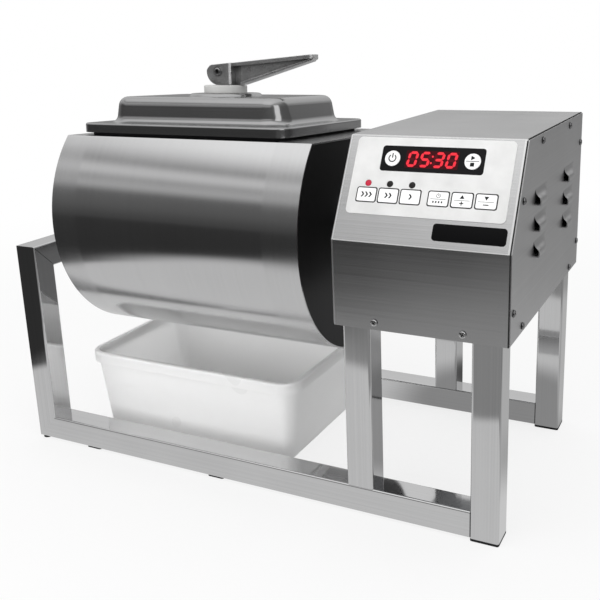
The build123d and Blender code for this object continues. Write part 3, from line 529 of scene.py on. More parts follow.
class Outline:
    """Flat outlines in millimetres, as lists of points that run counter-clockwise."""

    @staticmethod
    def rounded(width: float, height: float, radius: float, steps: int = 6) -> list[Point]:
        """Gives a rectangle with rounded corners about the origin.

        Args:
            width: its size across.
            height: its size upwards.
            radius: its corners' radius.
            steps: points on each corner's arc, less one.

        Returns:
            The outline's points.
        """
        points = []
        for corner, (sx, sy) in enumerate(((1, 1), (-1, 1), (-1, -1), (1, -1))):
            cx, cy = sx * (width / 2 - radius), sy * (height / 2 - radius)
            for i in range(steps + 1):
                turn = math.pi / 2 * (corner + i / steps)
                points.append((cx + radius * math.cos(turn), cy + radius * math.sin(turn)))
        return points

    @staticmethod
    def circle(radius: float, steps: int) -> list[Point]:
        """Gives a circle about the origin."""
        turns = [2 * math.pi * i / steps for i in range(steps)]
        return [(radius * math.cos(turn), radius * math.sin(turn)) for turn in turns]

    @staticmethod
    def quarter(steps: int) -> list[Point]:
        """Gives points on a quarter of a circle of radius 1, without its two ends."""
        turns = [math.pi / 2 * i / (steps + 1) for i in range(1, steps + 1)]
        return [(math.cos(turn), math.sin(turn)) for turn in turns]

    @staticmethod
    def arc_band(radius: float, width: float, start: float, end: float, steps: int = 24) -> list[Point]:
        """Gives a band along an arc.

        Args:
            radius: the arc's middle radius.
            width: the band's width.
            start: the first angle in degrees.
            end: the last angle.
            steps: pieces of the arc.

        Returns:
            The band's outline.
        """
        turns = [math.radians(start + (end - start) * i / steps) for i in range(steps + 1)]
        sides = ((radius + width / 2, turns), (radius - width / 2, turns[::-1]))
        return [(reach * math.cos(turn), reach * math.sin(turn)) for reach, way in sides for turn in way]

    @staticmethod
    def bar(x0: float, y0: float, x1: float, y1: float) -> list[Point]:
        """Gives a plain rectangle between two corners."""
        return [(x0, y0), (x1, y0), (x1, y1), (x0, y1)]

    @staticmethod
    def moved(points: list[Point], x: float, y: float) -> list[Point]:
        """Gives an outline moved across and up."""
        return [(px + x, py + y) for px, py in points]

    @staticmethod
    def hull(points: list[Point]) -> list[Point]:
        """Gives the outline round some points.

        Args:
            points: the points in any order.

        Returns:
            The outline's corners.
        """
        chains = []
        for row in (sorted(set(points)), sorted(set(points), reverse=True)):
            chain: list[Point] = []
            for x, y in row:
                while len(chain) > 1 and ((chain[-1][0] - chain[-2][0]) * (y - chain[-2][1])
                                          <= (chain[-1][1] - chain[-2][1]) * (x - chain[-2][0])):
                    chain.pop()
                chain.append((x, y))
            chains.append(chain[:-1])
        return chains[0] + chains[1]

    @staticmethod
    def inset(outline: list[Point], depth: float) -> list[Point]:
        """Gives an outline moved inwards, square to its edges.

        Args:
            outline: its corners.
            depth: how far.

        Returns:
            The smaller outline, with as many corners.
        """
        moved = []
        for before, here, after in zip(outline[-1:] + outline, outline, outline[1:] + outline[:1]):
            sides = [Vector(here) - Vector(before), Vector(after) - Vector(here)]
            one, two = (Vector((-side.y, side.x)).normalized() for side in sides)
            moved.append(tuple(Vector(here) + (one + two) * depth / (1 + one.dot(two))))
        return moved


class Workshop:
    """Makes mesh objects from outlines and keeps what every piece needs."""

    def __init__(self, wardrobe: Wardrobe) -> None:
        """Takes the finishes that its pieces wear."""
        self.wardrobe = wardrobe

    def finish_piece(self, mesh: BMesh, name: str, body: str, finish: Finish, slot: str,
                     smooth: float = 30.0) -> bpy.types.Object:
        """Turns a mesh into a piece that rides on a body.

        Args:
            mesh: the geometry in metres, in the row frame.
            name: the piece's name.
            body: the CAD body that carries it.
            finish: what it wears.
            slot: not used.
            smooth: the angle in degrees up to which edges shade smoothly.

        Returns:
            The new object.
        """
        bmesh.ops.recalc_face_normals(mesh, faces=mesh.faces)
        piece = self.blank(mesh, name)
        piece.data.shade_smooth()
        piece.data.set_sharp_from_angle(angle=math.radians(smooth))
        self.wardrobe.dress(piece, finish)
        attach(piece, body)
        LOG.info("%s rides on %s", name, body)
        return piece

    @staticmethod
    def blank(mesh: BMesh, name: str) -> bpy.types.Object:
        """Turns a mesh into a bare object of the scene.

        Args:
            mesh: the geometry, which is used up.
            name: the object's name.

        Returns:
            The object.
        """
        data = bpy.data.meshes.new(name)
        mesh.to_mesh(data)
        mesh.free()
        piece = bpy.data.objects.new(name, data)
        bpy.context.scene.collection.objects.link(piece)
        return piece

    def shade(self, piece: bpy.types.Object, marked: list[bool]) -> None:
        """Puts painted shade, the near-black SCREW_SHADE, on some faces of a piece.

        Args:
            piece: the piece, which may hold several like forms.
            marked: for each face of one form, whether it gets the painted shade.
        """
        piece.data.materials.append(self.wardrobe.get(SCREW_SHADE))
        for number, face in enumerate(piece.data.polygons):
            face.material_index = int(marked[number % len(marked)])

    @staticmethod
    def face(origin: Spot, across: Spot, upward: Spot, outward: Spot) -> Matrix:
        """Gives the place of a flat face.

        Args:
            origin: the face's origin in metres.
            across: the way of its X axis.
            upward: the way of its Y axis.
            outward: the way of its Z axis.

        Returns:
            From the face's own frame in millimetres to the row frame.
        """
        turn = Matrix((across, upward, outward)).transposed().to_4x4()
        return Matrix.Translation(origin) @ turn @ Matrix.Scale(MM, 4)

    @staticmethod
    def bands(mesh: BMesh, rows: list[list[bmesh.types.BMVert]]) -> None:
        """Adds the faces between neighbouring rings of points.

        Args:
            mesh: the mesh that they join.
            rows: the rings, with as many points each.
        """
        count = len(rows[0])
        for one, two in zip(rows, rows[1:]):
            for i in range(count):
                j = (i + 1) % count
                mesh.faces.new((one[i], one[j], two[j], two[i]))

    @classmethod
    def skin(cls, mesh: BMesh, loops: list[list[Vector]]) -> None:
        """Adds a closed skin over loops with as many points each.

        Args:
            mesh: the mesh that it joins.
            loops: the loops from one end to the other, which are closed by flat faces.
        """
        rows = [[mesh.verts.new(point) for point in loop] for loop in loops]
        cls.bands(mesh, rows)
        mesh.faces.new(list(reversed(rows[0])))
        mesh.faces.new(rows[-1])

    @classmethod
    def prism(cls, mesh: BMesh, outline: list[Point], low: float, high: float, place: Matrix) -> None:
        """Adds a flat plate with an outline, between two heights in millimetres."""
        cls.skin(mesh, [[place @ Vector((x, y, z)) for x, y in outline] for z in (low, high)])

    @classmethod
    def turned(cls, mesh: BMesh, profile: list[Point], steps: int, place: Matrix) -> None:
        """Adds a round form with a profile of radii and heights in millimetres."""
        rings = [(Outline.circle(radius, steps), z) for radius, z in profile]
        cls.skin(mesh, [[place @ Vector((x, y, z)) for x, y in ring] for ring, z in rings])

    @classmethod
    def frame(cls, mesh: BMesh, outer: list[Point], inner: list[Point], low: float, high: float,
              place: Matrix) -> None:
        """Adds a flat ring between two outlines with as many points each.

        Args:
            mesh: the mesh that it joins.
            outer: the ring's outer edge in millimetres.
            inner: its inner edge.
            low: the height of its underside.
            high: the height of its top.
            place: from the ring's own frame in millimetres to the row frame.
        """
        loops = [[mesh.verts.new(place @ Vector((x, y, z))) for x, y in line]
                 for line, z in ((outer, low), (outer, high), (inner, high), (inner, low))]
        cls.bands(mesh, loops + loops[:1])

    @staticmethod
    def islands(node: bpy.types.Object) -> list[tuple[Vector, Vector]]:
        """Finds the separate solids of a CAD node.

        Args:
            node: the CAD node's object.

        Returns:
            Each solid's lowest and highest corner, in metres.
        """
        places = np.array([v.co for v in node.data.vertices])
        _, same = np.unique(np.round(places, SAME_DIGITS), axis=0, return_inverse=True)
        same = same.ravel()
        parent = list(range(int(same.max()) + 1))

        def root(i: int) -> int:
            """Follows a point to the first point of its solid.

            Args:
                i: the point's number.

            Returns:
                The first point's number.
            """
            while parent[i] != i:
                parent[i] = parent[parent[i]]
                i = parent[i]
            return i

        for edge in node.data.edges:
            parent[root(int(same[edge.vertices[0]]))] = root(int(same[edge.vertices[1]]))
        groups: dict[int, list[int]] = {}
        for i, point in enumerate(same):
            groups.setdefault(root(int(point)), []).append(i)
        return [(Vector(places[g].min(0)), Vector(places[g].max(0))) for g in groups.values()]


@dataclass
class Assembly:
    """A sub-assembly: the CAD nodes by name, and the workshop that makes and dresses its pieces."""

    nodes: Nodes
    shop: Workshop

    def dress(self, outfits: dict[Finish, tuple[str, ...]]) -> None:
        """Puts finishes on CAD nodes.

        Args:
            outfits: the names of the nodes that wear each finish.
        """
        for finish, names in outfits.items():
            for name in names:
                self.shop.wardrobe.dress(self.nodes[name], finish)

    def build(self) -> None:
        """Dresses the sub-assembly and adds its trim."""
        raise NotImplementedError


@dataclass
class Stand(Assembly):
    """The square-tube stand with its rubber feet. Sizes are in millimetres."""

    along_x: tuple[str, ...] = ("front_rail", "rear_rail")
    along_y: tuple[str, ...] = ("left_cross_beam",)
    along_z: tuple[str, ...] = ("left_front_post", "left_rear_post", "front_inner_leg", "rear_inner_leg",
                                "front_right_leg", "rear_right_leg")
    feet: tuple[str, ...] = ("rail_pads", "leg_caps")
    tube: float = 38.0
    tube_corner: float = 3.5
    weld_width: float = 0.9
    weld_rise: float = 0.05

    def welds(self) -> None:
        """Adds the ground weld lines along the mitres on the left portal's inner face."""
        low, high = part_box("left_cross_beam")
        mesh = bmesh.new()
        start, end = self.tube_corner, self.tube - self.tube_corner
        half = self.weld_width / 2
        line = [(start, -start - half), (start, -start + half), (end, -end + half), (end, -end - half)]
        for y, inward in ((low.y, 1.0), (high.y, -1.0)):
            place = self.shop.face((high.x, y, high.z), (0.0, inward, 0.0), UP, Facing.RIGHT.value)
            self.shop.prism(mesh, line, -TRIM_SINK, self.weld_rise, place)
        self.shop.finish_piece(mesh, "mitre_welds", "stand", WELD_AND_GAP_SHADOW_BLACK, "polished_steel")

    def build(self) -> None:
        """Dresses the tubes, with polishing lines along each, and the feet, and adds the welds."""
        self.dress({TUBE_STEEL[Grain.ALONG_X]: self.along_x, TUBE_STEEL[Grain.ALONG_Y]: self.along_y,
                    TUBE_STEEL[Grain.ALONG_Z]: self.along_z, BLACK_RUBBER: self.feet})
        self.welds()


@dataclass
class Screws(Assembly):
    """Pan-head screws with a cross recess, set where the CAD screws are. Sizes are in millimetres."""

    head_radius: float = 4.5
    head_height: float = 2.6
    crown: float = 1.5
    seat: float = 1.0
    slot_length: float = 5.4
    slot_width: float = 1.15
    slot_depth: float = 1.5
    slot_overrun: float = 1.0
    rings: int = 5
    steps: int = 28
    wall_margin: float = 0.05
    recess_margin: float = 0.3
    first_turn: float = 0.6
    turn_step: float = 1.1

    def head(self) -> bpy.types.Mesh:
        """Builds one head with its cross cut out, its seat at z = 0.

        Returns:
            The head's mesh in millimetres.
        """
        profile = [(self.head_radius, -self.seat), (self.head_radius, self.head_height - self.crown)]
        profile += [(self.head_radius - self.crown * (1 - x), self.head_height - self.crown * (1 - y))
                    for x, y in Outline.quarter(self.rings)]
        long, wide = self.slot_length / 2, self.slot_width / 2
        arm = [(long, -wide), (long, wide), (wide, wide)]
        cross = arm + [(-y, x) for x, y in arm] + [(-x, -y) for x, y in arm] + [(y, -x) for x, y in arm]
        mesh, cut = bmesh.new(), bmesh.new()
        self.shop.turned(mesh, profile, self.steps, Matrix.Identity(4))
        bottom, top = self.head_height - self.slot_depth, self.head_height + self.slot_overrun
        self.shop.prism(cut, cross, bottom, top, Matrix.Identity(4))
        head, cutter = self.shop.blank(mesh, "head_blank"), self.shop.blank(cut, "cross_cutter")
        trim = head.modifiers.new("cross", "BOOLEAN")
        trim.object, trim.operation, trim.solver = cutter, "DIFFERENCE", "EXACT"
        bpy.context.view_layer.update()
        done = bpy.data.meshes.new_from_object(head.evaluated_get(bpy.context.evaluated_depsgraph_get()))
        for blank in (head, cutter):
            bpy.data.objects.remove(blank)
        return done

    def place(self, low: Vector, high: Vector, way: Vector, number: int) -> Matrix:
        """Gives the place of a head over a CAD screw.

        Args:
            low: the screw's lowest corner.
            high: its highest corner.
            way: the way that the head looks.
            number: the screw's number in its group, which turns its cross.

        Returns:
            From the head's own frame in millimetres to the row frame.
        """
        middle = (low + high) / 2
        outer = Vector([high[k] if way[k] > 0 else low[k] for k in range(3)])
        seat = middle + way * ((outer - middle).dot(way) - self.head_height * MM)
        turn = Matrix.Rotation(self.first_turn + self.turn_step * number, 4, "Z")
        facing = way.to_track_quat("Z", "Y").to_matrix().to_4x4()
        return Matrix.Translation(seat) @ facing @ turn @ Matrix.Scale(MM, 4)

    def in_shade(self, point: Vector) -> bool:
        """Says if a point of the head gets painted shade: on its side wall or in its recess.

        Args:
            point: the point in the head's own frame.

        Returns:
            If it is dark.
        """
        across = math.hypot(point.x, point.y)
        recess = point.z < self.head_height - self.recess_margin and across < self.slot_length / 2
        return across > self.head_radius - self.wall_margin or recess

    def build(self) -> None:
        """Sets a detailed head over each CAD screw."""
        head = self.head()
        shaded = [self.in_shade(face.center) for face in head.polygons]
        # The side panels' heads wear the darker copy of the screw steel: painted shade.
        groups = (("right_panel_screws", Facing.RIGHT, Facing.RIGHT, SHADED_SIDE_SCREW_STEEL),
                  ("left_panel_screws", Facing.LEFT, Facing.LEFT, SHADED_SIDE_SCREW_STEEL),
                  ("wrap_screws", Facing.FRONT, Facing.BACK, SCREW_STEEL))
        for node, front, back, finish in groups:
            mesh = bmesh.new()
            for number, (low, high) in enumerate(self.shop.islands(self.nodes[node])):
                way = front if low.y + high.y < 0 else back
                copy = head.copy()
                copy.transform(self.place(low, high, Vector(way.value), number))
                mesh.from_mesh(copy)
                bpy.data.meshes.remove(copy)
            name = f"{node}_heads"
            piece = self.shop.finish_piece(mesh, name, "stand", finish, "fastener_steel", smooth=35.0)
            self.shop.shade(piece, shaded)
            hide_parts(node)


@dataclass
class Housing(Assembly):
    """The control housing's sheets. Sizes are in millimetres."""

    wrap: tuple[str, ...] = ("housing_wrap",)
    sides: tuple[str, ...] = ("right_side_panel", "left_side_panel")
    floor: tuple[str, ...] = ("base_tray",)
    seam_width: float = 1.3
    seam_depth: float = 1.2
    seam_rise: float = 0.06
    face_margin: float = 0.05
    edge_width: float = 2.2
    edge_rise: float = 0.10
    edge_ends: Point = (0.5, 140.5)
    left_edge: float = 1.2
    bend_edge: float = 0.9

    def seam(self) -> None:
        """Adds a near-black strip round the right side panel: painted shadow in the gap between the panel and
        the wrap.
        """
        low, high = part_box("housing_wrap")
        points = [v.co for v in self.nodes["right_side_panel"].data.vertices]
        face = [p for p in points if abs(p.x - high.x) < self.face_margin * MM]
        outline = Outline.hull([(round(p.y / MM, 3), round(p.z / MM, 3)) for p in face])
        sheet = (min(p.y for p in face) - low.y) / MM
        place = self.shop.face((high.x, 0.0, 0.0), Facing.BACK.value, UP, Facing.RIGHT.value)
        mesh = bmesh.new()
        around = Outline.inset(outline, -sheet - self.seam_rise)
        inside = Outline.inset(outline, self.seam_width)
        self.shop.frame(mesh, around, inside, -self.seam_depth, self.seam_rise, place)
        self.shop.finish_piece(mesh, "side_panel_gap_shadow", "stand", WELD_AND_GAP_SHADOW_BLACK, "window_black")

    def painted_edge_highlights(self) -> None:
        """Adds painted highlights: bright strips along the edges and bends of the slope, and along the left
        edge of the front.
        """
        low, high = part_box("housing_wrap")
        slope = ControlPanel(self.nodes, self.shop)
        right = (high.x - low.x) / 2 / MM
        left, inner = self.left_edge - right, right - self.seam_depth
        bottom, top = self.edge_ends
        strips = (Outline.bar(inner - self.edge_width, bottom, inner, top),
                  Outline.bar(-right, bottom, left, top),
                  Outline.bar(left, top - self.bend_edge, inner - self.edge_width, top),
                  Outline.bar(left, bottom, inner - self.edge_width, bottom + self.bend_edge))
        mesh = bmesh.new()
        for strip in strips:
            self.shop.prism(mesh, strip, -TRIM_SINK, self.edge_rise, slope.plane())
        strip = Outline.bar(-right, low.z / MM + bottom, left, slope.slope_bottom - bottom)
        corner = ((low.x + high.x) / 2, low.y, 0.0)
        place = self.shop.face(corner, Facing.RIGHT.value, UP, Facing.FRONT.value)
        self.shop.prism(mesh, strip, -TRIM_SINK, self.edge_rise, place)
        self.shop.finish_piece(mesh, "painted_edge_highlights", "stand", PAINTED_HIGHLIGHT_STEEL, "brushed_steel")

    def build(self) -> None:
        """Dresses the sheets and adds the painted shadow in the side panel's seam and the painted edge
        highlights.
        """
        self.dress({SHEET_STEEL: self.wrap, SIDE_STEEL: self.sides, PLAIN_STEEL: self.floor})
        self.seam()
        self.painted_edge_highlights()


@dataclass
class ControlPanel(Assembly):
    """The sloped panel: film, window, digits, lamps, keys and bare plate.

    Sizes are in millimetres. Places are across from the panel's middle and up the slope from its lower edge.
    """

    slope_angle: float = 29.0
    slope_bottom: float = 383.5
    film_top: float = 1.0
    key_top: float = 1.9
    print_thick: float = 0.06
    print_sink: float = 0.02
    key_size: Point = (24.6, 17.0)
    key_centre: float = 61.4
    key_places: tuple[float, ...] = (-77.6, -48.5, -19.4, 16.6, 46.2, 75.8)
    key_gap: float = 0.4
    key_line: float = 1.15
    key_corners: Point = (3.0, 2.4)
    round_key_offset: float = 51.5
    window_centre: float = 110.2
    digit_size: Point = (13.2, 20.4)
    digit_pitch: float = 16.2
    digit_slant: float = 0.14
    digit_shift: float = 0.8
    segment_width: float = 3.4
    segment_gap: float = 0.28
    colon_rise: float = 4.2
    colon_radius: float = 1.35
    colon_steps: int = 16
    field_size: Point = (68.0, 23.0)
    field_corner: float = 1.2
    reading: str = "0530"
    lamp_radius: float = 4.0
    lamp_dome: float = 0.8
    lamp_seat: float = 2.0
    lamp_rings: int = 5
    lamp_steps: int = 32
    lamp_centre: float = 76.6
    lamp_places: tuple[float, ...] = (-77.8, -48.8, -19.5)
    plate_size: Point = (90.0, 21.0)
    plate_place: Point = (61.0, 20.4)
    plate_corner: float = 4.0
    plate_steps: int = 8
    plate_thick: float = 1.4
    plate_easing: Point = (0.12, 0.4)

    def plane(self, x: float = 0.0, s: float = 0.0) -> Matrix:
        """Gives the place of a point on the slope.

        Args:
            x: millimetres across from the panel's middle.
            s: millimetres up the slope.

        Returns:
            From millimetres about that point, with Z out of the slope, to the row frame.
        """
        low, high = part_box("housing_wrap")
        lean = math.radians(self.slope_angle)
        across = Vector((1.0, 0.0, 0.0))
        upward = Vector((0.0, math.sin(lean), math.cos(lean)))
        corner = Vector(((low.x + high.x) / 2, low.y, self.slope_bottom * MM))
        return Workshop.face(corner + (across * x + upward * s) * MM, across, upward, across.cross(upward))

    def printed(self, name: str, body: str, outlines: list[list[Point]], base: float,
                place: Matrix, finish: Finish, slot: str) -> None:
        """Prints flat marks on a face.

        Args:
            name: the piece's name.
            body: the body that carries it.
            outlines: the marks' outlines.
            base: the face's height above the slope.
            place: the face's place.
            finish: the ink.
            slot: the record's material slot.
        """
        mesh = bmesh.new()
        for outline in outlines:
            self.shop.prism(mesh, outline, base - self.print_sink, base + self.print_thick, place)
        self.shop.finish_piece(mesh, name, body, finish, slot)

    def key_marks(self) -> list[list[list[Point]]]:
        """Gives the signs on the six keys, from left to right.

        Returns:
            A list of outlines for each key.
        """
        def chevrons(count: int) -> list[list[Point]]:
            """Gives pointers to the right, more for a faster speed.

            Args:
                count: how many.

            Returns:
                Their outlines.
            """
            pitch = 5.2
            start = -(count - 1) * pitch / 2
            arrow = [(-2.0, -3.4), (0.2, -3.4), (2.6, 0.0), (0.2, 3.4), (-2.0, 3.4), (0.4, 0.0)]
            return [Outline.moved(arrow, start + pitch * i, 0.0) for i in range(count)]

        divider = Outline.bar(-9.6, -0.9, 9.6, -0.35)
        clock = [Outline.moved(Outline.arc_band(2.5, 0.55, 0, 359.9), 0, 3.6),
                 Outline.bar(-0.25, 3.5, 0.25, 5.4), Outline.bar(-0.25, 3.35, 1.5, 3.85)]
        ticks = [Outline.bar(-6.6 + 3.6 * i, -5.6, -4.8 + 3.6 * i, -3.0) for i in range(4)]
        up = [(-3.0, 1.6), (3.0, 1.6), (0.0, 6.2)]
        down = [(0.0, 1.4), (3.0, 6.0), (-3.0, 6.0)]
        minus = Outline.bar(-3.4, -4.9, 3.4, -3.7)
        plus = [(-2.6, -4.8), (-0.6, -4.8), (-0.6, -6.8), (0.6, -6.8), (0.6, -4.8), (2.6, -4.8),
                (2.6, -3.6), (0.6, -3.6), (0.6, -1.8), (-0.6, -1.8), (-0.6, -3.6), (-2.6, -3.6)]
        return [chevrons(3), chevrons(2), chevrons(1), clock + [divider] + ticks, [up, divider, plus],
                [down, divider, minus]]

    def keys(self) -> None:
        """Dresses the six keys, with their dark outlines and signs."""
        wide, high = (side + 2 * self.key_gap for side in self.key_size)
        outer = Outline.rounded(wide + 2 * self.key_line, high + 2 * self.key_line, self.key_corners[0])
        inner = Outline.rounded(wide, high, self.key_corners[1])
        for number, (x, marks) in enumerate(zip(self.key_places, self.key_marks()), 1):
            key = f"key_{number}"
            place = self.plane(x, self.key_centre)
            self.dress({KEY_PLASTIC: (key,)})
            self.printed(f"{key}_sign", key, marks, self.key_top, place, PRINT_BLACK, "window_black")
            mesh = bmesh.new()
            low, top = self.film_top - self.print_sink, self.film_top + self.print_thick
            self.shop.frame(mesh, outer, inner, low, top, place)
            self.shop.finish_piece(mesh, f"{key}_outline", "stand", PRINT_BLACK, "window_black")

    def round_keys(self) -> None:
        """Dresses the two round keys: a power sign, and start over stop."""
        power = [Outline.arc_band(4.6, 1.5, 125, 415), Outline.bar(-0.75, 0.4, 0.75, 6.6)]
        start_stop = [[(-2.2, 1.3), (3.0, 4.2), (-2.2, 7.1)], Outline.bar(-8.0, -0.4, 8.0, 0.4),
                      Outline.bar(-2.5, -6.6, 2.5, -1.7)]
        for key, side, marks in (("power_key", -1, power), ("start_stop_key", 1, start_stop)):
            place = self.plane(side * self.round_key_offset, self.window_centre)
            self.dress({KEY_PLASTIC: (key,)})
            self.printed(f"{key}_sign", key, marks, self.key_top, place, PRINT_BLACK, "window_black")

    def segments(self) -> dict[str, list[Point]]:
        """Gives a digit's seven segments about the digit's middle.

        Returns:
            Each segment's outline by its usual letter.
        """
        wide, high = ((side - self.segment_width) / 2 for side in self.digit_size)
        half, gap = self.segment_width / 2, self.segment_gap

        def upright(x: float, low: float, top: float) -> list[Point]:
            """Gives an upright segment.

            Args:
                x: its place across.
                low: the height where it starts.
                top: the height where it ends.

            Returns:
                Its outline.
            """
            low, top = low + gap, top - gap
            return [(x, low), (x + half, low + half), (x + half, top - half), (x, top),
                    (x - half, top - half), (x - half, low + half)]

        def level(y: float) -> list[Point]:
            """Gives a level segment at a height."""
            return [(-py, px) for px, py in upright(y, -wide, wide)]

        return {"a": level(high), "b": upright(wide, 0, high), "c": upright(wide, -high, 0),
                "d": level(-high), "e": upright(-wide, -high, 0), "f": upright(-wide, 0, high), "g": level(0)}

    def display(self) -> None:
        """Dresses the window and lights a time in it."""
        self.dress({WINDOW_PLASTIC: ("display_window",)})
        shapes = {"0": "abcdef", "3": "abcdg", "5": "acdfg"}
        middle = (len(self.reading) - 1) / 2
        lit, unlit = [], []
        for i, digit in enumerate(self.reading):
            x = (i - middle) * self.digit_pitch + (self.digit_shift if i > middle else -self.digit_shift)
            for letter, outline in self.segments().items():
                leaning = [(x + px + self.digit_slant * py, py) for px, py in outline]
                (lit if letter in shapes[digit] else unlit).append(leaning)
        for y in (-self.colon_rise, self.colon_rise):
            dot = Outline.circle(self.colon_radius, self.colon_steps)
            lit.append(Outline.moved(dot, self.digit_slant * y, y))
        place = self.plane(0.0, self.window_centre)
        field = [Outline.rounded(*self.field_size, self.field_corner)]
        self.printed("display_field", "stand", field, self.film_top, place, FIELD_RED, "window_black")
        above = self.film_top + self.print_thick
        self.printed("display_lit_segments", "stand", lit, above, place, LIT_RED, "lamp_red")
        self.printed("display_unlit_segments", "stand", unlit, above, place, UNLIT_RED, "window_black")

    def lamps(self) -> None:
        """Puts three domed lenses in place of the CAD lamps, the first one lit."""
        dome = [(self.lamp_radius, -self.lamp_seat), (self.lamp_radius, self.film_top)]
        dome += [(self.lamp_radius * x, self.film_top + self.lamp_dome * y)
                 for x, y in Outline.quarter(self.lamp_rings)]
        for number, x in enumerate(self.lamp_places, 1):
            mesh = bmesh.new()
            self.shop.turned(mesh, dome, self.lamp_steps, self.plane(x, self.lamp_centre))
            finish = LAMP_RED if number == 1 else LAMP_DARK
            piece = self.shop.finish_piece(mesh, f"lamp_{number}", "stand", finish, "lamp_red", smooth=50.0)
            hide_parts("indicator_lamps")

    def bare_plate(self) -> None:
        """Puts the bare black plate on the slope, with its edges eased."""
        wide, high = self.plate_size
        bow, ease = self.plate_easing
        top = self.plate_thick
        place = self.plane(*self.plate_place)
        loops = []
        for inset, z in ((0.0, 0.0), (0.0, top - ease), (bow, top - bow), (ease, top)):
            corner = self.plate_corner - inset
            line = Outline.rounded(wide - 2 * inset, high - 2 * inset, corner, self.plate_steps)
            loops.append([place @ Vector((x, y, z)) for x, y in line])
        mesh = bmesh.new()
        self.shop.skin(mesh, loops)
        self.shop.finish_piece(mesh, "bare_plate", "stand", PLATE_BLACK, "window_black", smooth=60.0)

    def build(self) -> None:
        """Dresses the panel and adds its printed and lit marks."""
        self.dress({PANEL_FILM: ("control_overlay",), BOARD_RESIN: ("control_board",)})
        self.keys()
        self.round_keys()
        self.display()
        self.lamps()
        self.bare_plate()


@dataclass
class Drum(Assembly):
    """The turning drum with its hatch, lid and clamp. Sizes are in millimetres."""

    shell: tuple[str, ...] = ("drum_shell", "drum_hatch_plate", "drum_paddles")
    turned: tuple[str, ...] = ("stub_shaft", "drive_shaft", "drum_gear", "hub_bolts", "clamp_spindle",
                               "clamp_bar", "pivot_pin")
    pin_end: tuple[Point, ...] = ((5.0, -0.2), (5.0, 0.5), (4.4, 0.9), (3.0, 0.9), (2.3, 0.1))
    pin_steps: int = 32

    def pin_ends(self) -> None:
        """Adds the peened ends of the lever's pin, each with painted shade in its dimple."""
        pin = self.nodes["pivot_pin"]
        places = np.array([pin.matrix_world @ v.co for v in pin.data.vertices])
        middle = (places.min(0) + places.max(0)) / 2
        axis = np.linalg.svd(places - middle, full_matrices=False)[2][0]
        reach = float(np.abs((places - middle) @ axis).max())
        mesh = bmesh.new()
        for way in (Vector(axis), -Vector(axis)):
            turn = way.to_track_quat("Z", "Y").to_matrix().to_4x4()
            place = Matrix.Translation(Vector(middle) + way * reach) @ turn @ Matrix.Scale(MM, 4)
            self.shop.turned(mesh, self.pin_end, self.pin_steps, place)
        piece = self.shop.finish_piece(mesh, "pin_ends", "clamp", SCREW_STEEL, "turned_steel", smooth=35.0)
        rings = len(self.pin_end) - 1
        bright, dimple = [False] * (rings - 1) * self.pin_steps, [True] * self.pin_steps
        self.shop.shade(piece, bright + dimple + [False, True])

    def build(self) -> None:
        """Dresses the drum, lid and clamp, and adds the pin's ends."""
        # The right disc wears near-black steel: painted shade.
        self.dress({DRUM_STEEL: self.shell, DISC_STEEL: ("drum_left_disc",),
                    DISC_SHADE_STEEL: ("drum_right_disc",), TURNED_STEEL: self.turned, LID_STEEL: ("lid",),
                    BLACK_RUBBER: ("lid_gasket",), WHITE_NYLON: ("clamp_collar",),
                    LEVER_CASTING: ("cam_lever",)})
        self.pin_ends()


@dataclass
class Drive(Assembly):
    """Bearings, gears, gearmotor and electrics."""

    castings: tuple[str, ...] = ("left_pillow_block", "right_pillow_block")
    turned: tuple[str, ...] = ("bearing_inserts", "pillow_bolts", "motor_pinion")
    plates: tuple[str, ...] = ("bearing_pedestal", "motor_stand")
    painted: tuple[str, ...] = ("gearbox", "drive_motor")
    mouldings: tuple[str, ...] = ("power_inlet", "terminal_strip")
    cased: tuple[str, ...] = ("power_supply",)

    def build(self) -> None:
        """Dresses the drive and the electrics."""
        self.dress({BEARING_CASTING: self.castings, TURNED_STEEL: self.turned, PLAIN_STEEL: self.plates,
                    MOTOR_PAINT: self.painted, INLET_PLASTIC: self.mouldings, SUPPLY_CASE: self.cased})


@dataclass
class CatchTub(Assembly):
    """The white tub under the drum."""

    node: str = "catch_tub"

    def build(self) -> None:
        """Puts the tub's plastic on it."""
        self.dress({TUB_PLASTIC: (self.node,)})


@dataclass(frozen=True)
class Softbox:
    """A studio lamp: its place, aim and size in metres, its power, and if polished steel shows it."""

    name: str
    place: Place
    aim: Place
    size: Point
    power: float
    in_gloss: bool = False

    def build(self) -> None:
        """Adds the lamp to the scene."""
        lamp = bpy.data.lights.new(self.name, "AREA")
        lamp.shape = "RECTANGLE"
        lamp.size, lamp.size_y = self.size
        lamp.energy = self.power
        holder = bpy.data.objects.new(self.name, lamp)
        holder.location = self.place
        holder.rotation_mode = "QUATERNION"
        holder.rotation_quaternion = (Vector(self.aim) - Vector(self.place)).to_track_quat("-Z", "Y")
        holder.visible_glossy = self.in_gloss
        bpy.context.scene.collection.objects.link(holder)


@dataclass(frozen=True)
class Pool:
    """A round patch of floor with a tone that only polished steel shows, darker ones painted shadow and
    lighter ones painted light: its middle and soft edge in metres, and its tone.
    """

    middle: Point
    edge: Point
    tone: float


